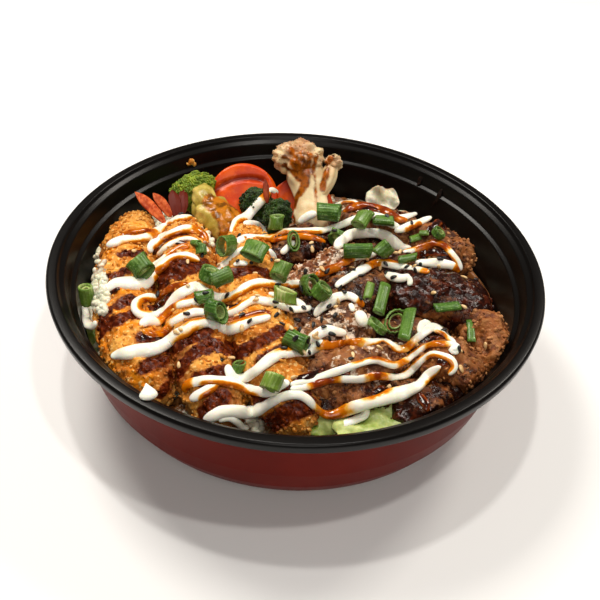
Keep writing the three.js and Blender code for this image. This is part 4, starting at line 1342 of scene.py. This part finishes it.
def runs_on(points, runs):
    """Sauce that runs over a piece: each run is half a width and a way over the picture."""
    lines = []
    for half, spots in runs:
        line = Route([(x, y, 0) for x, y in spots])
        spots = line.along(np.linspace(0, 1, max(4, round(line.length))))[:, :2]
        found = [(spot, seen(spot)[0]) for spot in spots]
        lines.append((half, np.array([CAMERA_PLACE + sight(spot) * far
                                      for spot, far in found if far is not None])))
    return nearness(points, lines, 1.4)


CAULIFLOWER_RUNS = [
    (1.5, [(281, 164), (287, 166), (293, 171), (299, 179)]),
    (1.5, [(284, 157), (291, 162), (297, 170), (301, 180)]),
    (1.6, [(291, 150), (296, 160), (300, 170), (303, 182), (300, 194)]),
    (1.3, [(300, 150), (303, 160), (305, 171), (305, 184)]),
    (1.5, [(310, 152), (309, 162), (308, 173), (306, 186)]),
    (1.2, [(317, 155), (314, 164), (311, 174)]),
    (1.7, [(304, 182), (303, 190), (297, 197), (295, 206)]),
    (0.8, [(314, 176), (315, 188), (316, 204)]),
    (1.7, [(327, 170), (324, 180), (323, 188)]),
    (1.6, [(332, 157), (329, 160), (327, 164)]),
    (1.3, [(294, 206), (294, 216), (296, 224)]),
]
STALK_RUNS = [
    (4.6, [(212, 202), (221, 212), (227, 222), (228, 233)]),
    (4.4, [(226, 204), (235, 214), (238, 224)]),
]


def make_cauliflower():
    draw = np.random.default_rng(31)
    stem = stalk("stem", [(6, 46, 37), (4, 62, 49), (-2, 78, 61)], 10.5, 7,
                 lambda t: 1.12 - 0.35 * np.sin(math.pi * t) ** 2 + 0.2 * t ** 2, 60, 72)
    branch = stalk("branch", [(5, 60, 46), (12, 69, 56), (15, 76, 62)], 4.5, 4, even(1.0), 36, 40)
    head = crown("head", (-4, 80, 61), (-0.1, 0.4, 1), 13.5, 9, 8, 1.6, 4, 0.4, 350, draw)
    side = crown("side", (15, 76, 62), (0.4, 0.3, 1), 4.6, 4, 5, 0.8, 6, 0.4, 100, draw)
    whole = joined("cauliflower", [stem, branch, head, side])
    points = spots_of(whole)
    keep(whole, sauce=runs_on(points, CAULIFLOWER_RUNS),
         core=np.clip((points[:, 2] - 60) / 5, 0, 1) * np.clip(0.7 + soft_noise(points, 9, 3), 0, 1))
    finish = plant_finish("cauliflower", tone(224, 190, 140), tone(240, 222, 178), 9, 0.26,
                          tone(176, 92, 10), 0.15, browned=tone(188, 138, 96))
    show("cauliflower_floret", whole, [finish], "cauliflower", "cauliflower")


def make_broccoli():
    draw = np.random.default_rng(41)
    flesh = plant_finish("broccoli_stalk", tone(160, 138, 52), tone(212, 188, 100), 6, 0.26,
                         tone(188, 112, 20), 0.1)
    bright = plant_finish("broccoli_head", tone(74, 100, 14), tone(140, 158, 40), 5, 0.5)
    dark = plant_finish("broccoli_dark", tone(22, 40, 8), tone(52, 80, 20), 4, 0.42)
    stem = stalk("stem", [(-30, 27, 42), (-40, 36, 49), (-53, 52, 48)], 9.5, 7, even(1.0), 60, 72,
                 1.5, 2, 0.1)
    arm = stalk("arm", [(-42, 37, 47), (-49, 46, 54), (-53, 57, 54)], 6, 4.5, even(1.0), 40, 44,
                1.3, 3, 0.15)
    head = crown("head", (-57, 60, 47), (-0.6, 0.7, 0.6), 12.5, 9, 6, 1.4, 8, 0.85, 1500, draw)
    whole = joined("broccoli_large", [stem, arm, head])
    points = spots_of(whole)
    keep(whole, sauce=runs_on(points, STALK_RUNS))
    stem_faces = len(stem.polygons) + len(arm.polygons)
    index = np.zeros(len(whole.polygons), np.int32)
    index[stem_faces:] = 1
    whole.polygons.foreach_set("material_index", index)
    show("broccoli_large_sprig", whole, [flesh, bright], "broccoli", "broccoli_large")
    sprigs = [
        ("broccoli_small_1", (-24, 55, 47), (-0.2, 0.3, 1), 8, 7, 9,
         [(-24, 53, 44), (-22, 49, 39), (-20, 46, 37)]),
        ("broccoli_small_2", (-12, 42, 49), (0.2, -0.2, 1), 6.5, 9.5, 12,
         [(-12, 41, 45), (-14, 38, 40), (-15, 36, 38)]),
    ]
    for node, centre, facing, radius, depth, seed, route in sprigs:
        head = crown("head", centre, facing, radius, depth, 5, 1.2, seed, 0.7, 900, draw)
        stub = stalk("stub", route, 4, 4, even(1.0), 28, 24)
        show(f"{node}_sprig", joined(node, [head, stub]), [dark], "broccoli", node)


# Centre, tilt and heading of each slice.
CARROTS = [("carrot_1", (-31, 61, 46), 0.8, 0.1), ("carrot_2", (-1, 66, 37), 0.85, -0.1)]
CARROT_RADIUS, CARROT_THICKNESS = 18.0, 6.0
CARROT_RINGS, RING_WIDTH = 16, 0.95     # rings that each flat face is divided into
# Where on the picture the crease of the front slice is seen; it is pressed in and painted dark as
# shade.
CREASE = [(213, 193), (219, 187), (228, 182), (238, 179), (250, 178), (263, 180)]


def make_carrots():
    finish = carrot_finish()
    for seed, (node, centre, tilt, heading) in enumerate(CARROTS):
        bm = bmesh.new()
        bmesh.ops.create_cone(bm, cap_ends=True, cap_tris=False, segments=72,
                              radius1=CARROT_RADIUS, radius2=CARROT_RADIUS,
                              depth=CARROT_THICKNESS)
        rims = [e for e in bm.edges if abs(e.verts[0].co.z - e.verts[1].co.z) < 1e-6]
        bmesh.ops.bevel(bm, geom=rims, offset=1.5, segments=4, profile=0.5, affect="EDGES",
                        material=-1)
        for _ in range(CARROT_RINGS):
            faces = [f for f in bm.faces if len(f.verts) > 30]
            bmesh.ops.inset_region(bm, faces=faces, thickness=RING_WIDTH, depth=0.0)
        faces = [f for f in bm.faces if len(f.verts) > 30]
        bmesh.ops.poke(bm, faces=faces)
        local = places(bm)
        reach = np.hypot(local[:, 0], local[:, 1])
        face = np.sign(local[:, 2]) * (reach < CARROT_RADIUS - 1)
        rays = 0.06 * np.cos(24 * np.arctan2(local[:, 1], local[:, 0])) * (reach / CARROT_RADIUS)
        local[:, 2] += face * (0.5 * soft_noise(local, 6, seed) + rays)
        turn = Matrix.Rotation(heading, 4, "Z") @ Matrix.Rotation(tilt, 4, "X")
        placed = local @ np.array(turn.to_3x3()).T + centre
        line = Route([(x, y, 0) for x, y in CREASE]).along(np.linspace(0, 1, 60))
        seen_at = np.column_stack([on_picture(placed), np.zeros(len(placed))])
        crease = nearness(seen_at, [(2.2, line)], 2.4) * (local[:, 2] > 0)
        move(bm, placed - np.array(turn.to_3x3())[:, 2] * (1.6 * crease)[:, None])
        mesh = to_mesh(bm, node)
        # The crease is painted dark as shade.
        keep(mesh, core=crease[:len(mesh.vertices)])
        show(f"{node}_slice", mesh, [finish], "carrot", node)


# ---- Leaves ------------------------------------------------------------------------------

LEAVES = {
    "cabbage_1": dict(centre=(42, 66, 48), size=(19, 14), heading=0.3, tilt=0.7, wave=2.2,
                      wave_size=11, thick=1.3, seed=1, round_off=0.9),
    "cabbage_2": dict(centre=(48, 50, 47), size=(18, 14), heading=-0.4, tilt=0.3, wave=1.5,
                      wave_size=16, thick=1.1, seed=3),
    "lettuce_1": dict(centre=(39, -80, 44.5), size=(43, 25), heading=0.35, tilt=0.1, wave=2.2,
                      wave_size=13, thick=0.6, seed=2),
    "lettuce_2": dict(centre=(16, -80, 43), size=(22, 20), heading=-0.1, tilt=0.5, wave=2.4,
                      wave_size=11, thick=0.6, seed=5),
    "lettuce_3": dict(centre=(-82, -46, 36), size=(20, 26), heading=0.45, tilt=0.2, wave=2,
                      wave_size=12, thick=0.6, seed=7),
}


def leaf_mesh(name, centre, size, heading, tilt, wave, wave_size, thick, seed,
              round_off=0.5):
    """A thin crinkled leaf with ruffled edges and ribs."""
    bm = bmesh.new()
    bmesh.ops.create_grid(bm, x_segments=64, y_segments=48, size=0.5)
    bmesh.ops.solidify(bm, geom=bm.faces, thickness=thick)
    sheet = places(bm)
    flat = sheet * [size[0], size[1], 0]
    across, down = 4 * sheet[:, 0] ** 2, 4 * sheet[:, 1] ** 2
    edge = np.minimum(1, np.sqrt(across + down))
    flat[:, 0] *= np.sqrt(1 - 0.5 * round_off * np.minimum(1, down))
    flat[:, 1] *= np.sqrt(1 - 0.5 * round_off * np.minimum(1, across))
    flat *= (1 + 0.07 * edge * soft_noise(flat, 3.0, seed))[:, None]
    rise = wave * (0.45 + edge) * bumps(flat, wave_size, seed)
    rise += 0.5 * soft_noise(flat, 4.2, seed) + 1.1 * edge ** 3 * soft_noise(flat, 2.6, seed)
    rib = np.abs(np.sin(0.5 * flat[:, 0] + 0.22 * flat[:, 1] + 2 * soft_noise(flat, 9, seed)))
    flat[:, 2] = sheet[:, 2] + rise + 0.3 * (1 - rib) ** 2
    turn = Matrix.Rotation(heading, 3, "Z") @ Matrix.Rotation(tilt, 3, "X")
    move(bm, inside_bowl(flat @ np.array(turn).T + centre, 1.0))
    bmesh.ops.recalc_face_normals(bm, faces=bm.faces)
    mesh = to_mesh(bm, name)
    # Its middle is given as a hollow, so the finish paints the leaf darker towards the middle as
    # painted shade.
    keep(mesh, relief=-0.5 * (1 - edge))
    return mesh


def make_leaves():
    green = plant_finish("lettuce", tone(122, 146, 48), tone(208, 216, 136), 8, 0.32, clear=0.15)
    pale = plant_finish("cabbage", tone(196, 184, 146), tone(226, 222, 204), 8, 0.3,
                        tone(150, 92, 34), 0.4)
    for node, spec in LEAVES.items():
        kind = node.split("_")[0]
        mesh = leaf_mesh(node, **spec)
        wet = 0.55 if node == "cabbage_2" else 0.0
        keep(mesh, sauce=wet + 0.3 * soft_noise(spots_of(mesh), 6, 2))
        show(f"{node}_leaf", mesh, [green if kind == "lettuce" else pale], kind, node)


# ---- Spring onion ------------------------------------------------------------------------

# Heading and tip in degrees, radius, length, how pale it is and how flat it is pressed.
ONIONS = [
    (140, 30, 4.6, 8, 0.1, 0.85), (-120, 25, 4.4, 7, 0.2, 0.85), (60, 55, 4.2, 6, 0.1, 0.9),
    (30, 10, 3.2, 8, 0.15, 0.8), (10, 10, 3, 7, 0.1, 0.6), (-35, 15, 4.3, 7, 0.05, 0.85),
    (0, 90, 3.2, 8, 0.5, 0.9), (75, 5, 4.8, 9, 0.15, 0.5), (80, 60, 4.4, 7, 0.25, 0.75),
    (-70, 40, 4.4, 3, 0.1, 0.7), (-8, 5, 4.4, 11, 0.05, 0.85), (60, 20, 4.2, 8, 0.35, 0.6),
    (65, 30, 4.6, 5, 0.15, 0.8), (-15, 10, 4, 9, 0.1, 0.6), (8, 0, 3.8, 12, 0.05, 0.7),
    (30, 35, 4.2, 7, 0.15, 0.85), (5, 15, 2.8, 8, 0.15, 0.6), (0, 60, 3.6, 3, 0.1, 0.9),
    (70, 30, 4.2, 8, 0.3, 0.85), (90, 60, 4.6, 6, 0.85, 0.95), (-60, 40, 4.6, 6, 0.1, 0.85),
    (20, 50, 4.4, 5, 0.1, 0.85), (-35, 5, 4, 9, 0.05, 0.8), (60, 45, 4, 6, 0.9, 0.9),
    (78, 12, 2.5, 16, 0.2, 0.42), (30, 50, 5, 3, 0.2, 0.9), (-90, 52, 5.2, 3.5, 0.15, 0.9),
    (78, 5, 2.5, 17, 0.15, 0.42), (15, 0, 2.2, 11, 0.05, 0.5),
]
LAYERS = [(1.0, 0.0), (0.66, 0.35)]   # share of the radius, and how far a layer is paler
PRESSED = 0.65                        # cuts flatter than this are turned a quarter about their length


def tube(radius, length, wall, flat, seed, draw):
    """A cut of leaf along +Z with slanting ends, pressed a little flat and faintly ribbed."""
    bm = bmesh.new()
    bmesh.ops.create_cone(bm, cap_ends=False, segments=60, radius1=1, radius2=1, depth=1)
    rungs = [e for e in bm.edges if abs(e.verts[0].co.z - e.verts[1].co.z) > 0.5]
    bmesh.ops.subdivide_edges(bm, edges=rungs, cuts=6, use_grid_fill=True)
    unit = places(bm)
    angle = np.arctan2(unit[:, 1], unit[:, 0])
    slant = draw.uniform(-0.28, 0.28, 4)
    ribbed = radius * (1 + 0.03 * np.cos(15 * angle) + 0.05 * np.sin(2 * angle + seed))
    x, y = ribbed * np.cos(angle), ribbed * np.sin(angle) * flat
    ends = np.where(unit[:, 2] > 0, 1, -1)
    share = np.abs(unit[:, 2]) * 2
    lean = np.where(ends > 0, slant[0] * x + slant[1] * y, slant[2] * x + slant[3] * y)
    z = unit[:, 2] * length + share * lean
    grow = 1 + 0.12 * share * np.sin(angle * 2 + seed * 3)
    move(bm, np.stack([x * grow, y * grow, z], axis=1))
    bmesh.ops.recalc_face_normals(bm, faces=bm.faces)
    bmesh.ops.solidify(bm, geom=bm.faces, thickness=wall)
    return bm


def onion_mesh(index, centre, heading, tip, radius, length, pale, flat):
    draw = np.random.default_rng(100 + index)
    turn = (Matrix.Rotation(math.radians(heading), 4, "Z")
            @ Matrix.Rotation(-math.radians(tip), 4, "Y")
            @ Matrix.Rotation(math.radians(90), 4, "Y")
            @ Matrix.Rotation(math.radians(draw.uniform(-25, 25) + 90 * (flat < PRESSED)), 4, "Z"))
    meshes = []
    for share, paler in LAYERS:
        if share < 1 and (radius < 3.1 or flat < 0.7 or index % 3 == 1):
            continue
        reach = length * (1 if share == 1 else draw.uniform(0.7, 0.95))
        bm = tube(radius * share, reach, 0.55 + 0.3 * pale, max(flat, 0.3), index, draw)
        points = places(bm)
        local = np.hypot(points[:, 0], points[:, 1] / max(flat, 0.3))
        inner = np.clip((radius * share - local) / 0.7, 0, 1)
        around = np.arctan2(points[:, 1] / max(flat, 0.3), points[:, 0])
        bmesh.ops.transform(bm, matrix=Matrix.Translation(centre) @ turn, verts=bm.verts)
        mesh = to_mesh(bm, "onion")
        keep(mesh, inner=inner[:len(mesh.vertices)],
             rib=(0.5 + 0.5 * np.cos(15 * around))[:len(mesh.vertices)],
             light=np.full(len(mesh.vertices), min(1, pale + paler)))
        meshes.append(mesh)
    return joined("onion", meshes)


# Small cuts: place on the picture, then as above.
ONION_BITS = [
    ((201, 249), 100, 30, 2.6, 5, 0.1, 0.6), ((415, 238), 20, 10, 2.0, 5, 0.3, 0.6),
    ((424, 233), -20, 20, 2.0, 4, 0.3, 0.6), ((239, 366), 60, 60, 3.0, 3, 0.15, 0.9),
    ((369, 291), 78, 25, 2.0, 8, 0.5, 0.55), ((471, 331), 88, 10, 1.6, 11, 0.1, 0.4),
    ((196, 243), -40, 25, 2.2, 5, 0.1, 0.6),
]


def make_onion_bits(finish):
    food = tree_of([o.data for o in bpy.data.objects
                    if o.name == "mayonnaise" or o.name.endswith(("_breaded", "_battered"))])
    meshes = []
    for index, (spot, *cut) in enumerate(ONION_BITS):
        far, _ = seen(spot, food)
        centre = CAMERA_PLACE + sight(spot) * (far - 0.6 * cut[2])
        meshes.append(onion_mesh(50 + index, centre, *cut))
    show("spring_onion_bits", joined("onion_bits", meshes), [finish], "onion")


def make_onions():
    finish = onion_finish()
    for index, cut in enumerate(ONIONS):
        node = f"spring_onion_{index + 1}"
        low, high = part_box(node)
        centre = (low + high) / 2 / MM
        show(f"{node}_cut", onion_mesh(index, centre, *cut), [finish], "onion", node)
    make_onion_bits(finish)


# ---- Sesame ------------------------------------------------------------------------------

BLACK_SESAME = [
    (238, 261), (251, 263), (227, 296), (276, 302), (275, 307), (276, 315), (282, 324),
    (250, 321), (242, 315), (304, 308), (308, 312), (302, 289), (297, 320), (313, 325),
    (329, 306), (322, 320), (324, 327), (327, 271), (340, 287), (332, 334), (308, 340),
    (309, 346), (309, 353), (284, 348), (329, 339), (335, 315), (354, 270), (361, 276),
    (386, 264), (386, 273), (407, 267), (416, 266), (416, 271), (420, 265), (360, 298),
    (440, 259), (181, 214), (158, 294), (196, 300), (202, 256), (285, 312), (291, 310),
    (296, 338), (317, 282), (459, 349), (462, 352), (318, 344), (300, 330), (344, 292),
]
WHITE_SESAME = [
    (134, 251), (188, 262), (179, 252), (256, 300), (242, 328), (291, 328), (279, 312),
    (292, 312), (311, 243), (312, 249), (219, 265), (322, 269), (338, 301), (336, 307),
    (316, 335), (304, 353), (434, 293), (430, 258), (439, 267), (367, 259), (380, 268),
    (486, 346), (461, 369), (336, 423), (294, 377), (316, 337), (400, 252), (418, 213),
    (258, 296), (352, 348),
]
SEED_SIZE = (1.65, 0.98, 0.62)   # half length, width and thickness
MORE_SEEDS = 60                  # seeds strewn by chance over the food, both kinds together
STREWN = ((12, 62), (-14, 58))   # middle and reach of that in x and in y
LOWEST_SEED = 42


def seed_mesh():
    length, width, thick = SEED_SIZE
    line = Route([(-length, 0, 0), (0, 0, 0.08), (length, 0, 0)])
    bm, *_ = stretched(line, width, thick, 9, 8, 2.2, lambda t: 0.62 + 0.5 * t)
    return to_mesh(bm, "seed")


def strewn(food, count, draw):
    """Places by chance on the food as seen from above, with their normals."""
    found = []
    while len(found) < count:
        x, y = [middle + reach * draw.uniform(-1, 1) for middle, reach in STREWN]
        place, normal, _, _ = food.ray_cast(Vector((x, y, ABOVE)), Vector((0, 0, -1)))
        if place and place.z > LOWEST_SEED and normal.z > 0.1:
            found.append((np.array(place), np.array(normal)))
    return found


def make_sesame():
    toppings = [o.data for o in bpy.data.objects if o.name == "mayonnaise"
                or o.name.endswith(("_breaded", "_battered", "_cut"))]
    food = tree_of(toppings)
    pattern = seed_mesh()
    draw = np.random.default_rng(55)
    more = strewn(food, MORE_SEEDS, draw)
    kinds = [
        ("sesame_black", BLACK_SESAME, more[::2], tone(16, 14, 14), tone(40, 36, 34)),
        ("sesame_white", WHITE_SESAME, more[1::2], tone(216, 170, 108), tone(242, 212, 160)),
    ]
    for name, spots, extra, colour, lighter in kinds:
        lying = []
        for spot in spots:
            far, normal = seen(spot, food)
            if far is not None:
                lying.append((CAMERA_PLACE + sight(spot) * (far - 0.3), normal))
        lying += extra
        normals = np.array([n for _, n in lying])
        seats = np.array([p for p, _ in lying]) + 0.25 * normals
        turns = upright(normals, draw, 0.2)
        mesh = copies(name, pattern, turns, seats, draw.uniform(0.88, 1.1, len(seats)))
        show(name, mesh, [seed_finish(name, colour, lighter)], "crumb")


# ---- Bits on the bowl --------------------------------------------------------------------

SMEARS = [(1.2, [(425, 171), (421, 178), (417, 186)]), (1.4, [(442, 189), (438, 197), (431, 207)])]
TEARDROP = [(146, 383, 61.8), (148, 392, 61), (149, 400, 60.6)]
WALL_CRUMBS = [((191, 162), 1.9), ((194, 164), 1.4), ((188, 164), 1.0)]


def make_bits_on_bowl(mayonnaise):
    """A drop of mayonnaise on the front rim, and sauce smudges and a crumb on the back wall."""
    shell = tree_of([bpy.data.objects["bowl_shell"].data])
    points = [at_height((x, y), height) for x, y, height in TEARDROP]
    facing = UP - sight(TEARDROP[1])
    bm, *_ = stretched(Route(points, [facing, facing]), 3.1, 1.5, 24, 24, 2.2,
                       lambda t: 0.25 + 1.0 * np.sin(math.pi * t ** 1.5 * 0.62))
    drop = to_mesh(bm, "drop")
    keep(drop, amber=np.zeros(len(drop.vertices)))
    show("mayonnaise_drop", drop, [mayonnaise], "crumb")
    films = []
    for half, spots in SMEARS:
        found = [seen(spot, shell) for spot in spots]
        line = Route([CAMERA_PLACE + sight(spot) * far for spot, (far, _) in zip(spots, found)],
                     [normal for _, normal in found])
        bm, outward, *_ = stretched(line, half, 0.22, 20, 36, 2.4)
        skin = places(bm)
        move(bm, skin + 0.5 * outward * soft_noise(skin, 1.8, half)[:, None])
        films.append(to_mesh(bm, "smear"))
    smear = Finish("dried_sauce", 0.5, Specular_IOR_Level=0.1)
    smear.paint(smear.blend(smear.band(smear.grain(1.5, 3), 0.35, 0.7), tone(12, 7, 5),
                            tone(40, 22, 14)))
    show("wall_smears", joined("wall_smears", films), [smear.material], "crumb")
    seats, sizes = [], []
    for spot, size in WALL_CRUMBS:
        far, _ = seen(spot, shell)
        seats.append(CAMERA_PLACE + sight(spot) * (far - 0.4 * size))
        sizes.append(size)
    draw = np.random.default_rng(5)
    turns = upright(np.array([-sight(WALL_CRUMBS[0][0])] * len(seats)), draw, 0.4)
    show("wall_crumb", copies("wall_crumb", CHIP, turns, np.array(seats), np.array(sizes)),
         [CRUMB], "crumb")


# ---- Floor and light ---------------------------------------------------------------------

def make_floor():
    bm = bmesh.new()
    bmesh.ops.create_grid(bm, x_segments=1, y_segments=1, size=6)
    mesh = bpy.data.meshes.new("floor")
    bm.to_mesh(mesh)
    bm.free()
    floor = bpy.data.objects.new("floor", mesh)
    bpy.context.collection.objects.link(floor)
    finish = Finish("floor", 0.9)
    finish.shader.inputs["Base Color"].default_value = (0.92, 0.92, 0.92, 1)
    mesh.materials.append(finish.material)


# Place in metres, size across, power in watts and tint of each light.
LIGHTS = [
    ((-0.45, 0.4, 0.95), 0.36, 8.6, (1.0, 0.95, 0.87)),
    ((0.6, 0.5, 0.9), 0.25, 5.0, (1.0, 0.94, 0.85)),
    ((0.1, -0.8, 0.8), 0.5, 2.7, (1.0, 0.96, 0.9)),
    ((-0.1, 0.1, 1.2), 0.06, 3.4, (1.0, 0.96, 0.9)),
    ((0.25, -0.2, 1.1), 0.05, 2.2, (1.0, 0.96, 0.9)),
]


def make_lights():
    for number, (place, size, power, tint) in enumerate(LIGHTS):
        data = bpy.data.lights.new(f"light_{number + 1}", "AREA")
        data.size, data.energy, data.color = size, power, tint
        lamp = bpy.data.objects.new(data.name, data)
        lamp.location = place
        lamp.rotation_euler = Vector(place).to_track_quat("Z", "Y").to_euler()
        bpy.context.collection.objects.link(lamp)
    world = bpy.data.worlds.new("studio")
    world.use_nodes = True
    world.node_tree.nodes["Background"].inputs["Color"].default_value = (1.0, 0.95, 0.89, 1)
    world.node_tree.nodes["Background"].inputs["Strength"].default_value = 0.11
    bpy.context.scene.world = world
    bpy.context.scene.view_settings.view_transform = "Standard"


make_camera()
make_prawns()
make_fried()
make_tails()
mayonnaise = make_mayonnaise()
make_pools()
make_bowl()
make_bits_on_bowl(mayonnaise)
make_rice()
make_cauliflower()
make_broccoli()
make_carrots()
make_leaves()
make_onions()
make_sesame()
make_floor()
make_lights()
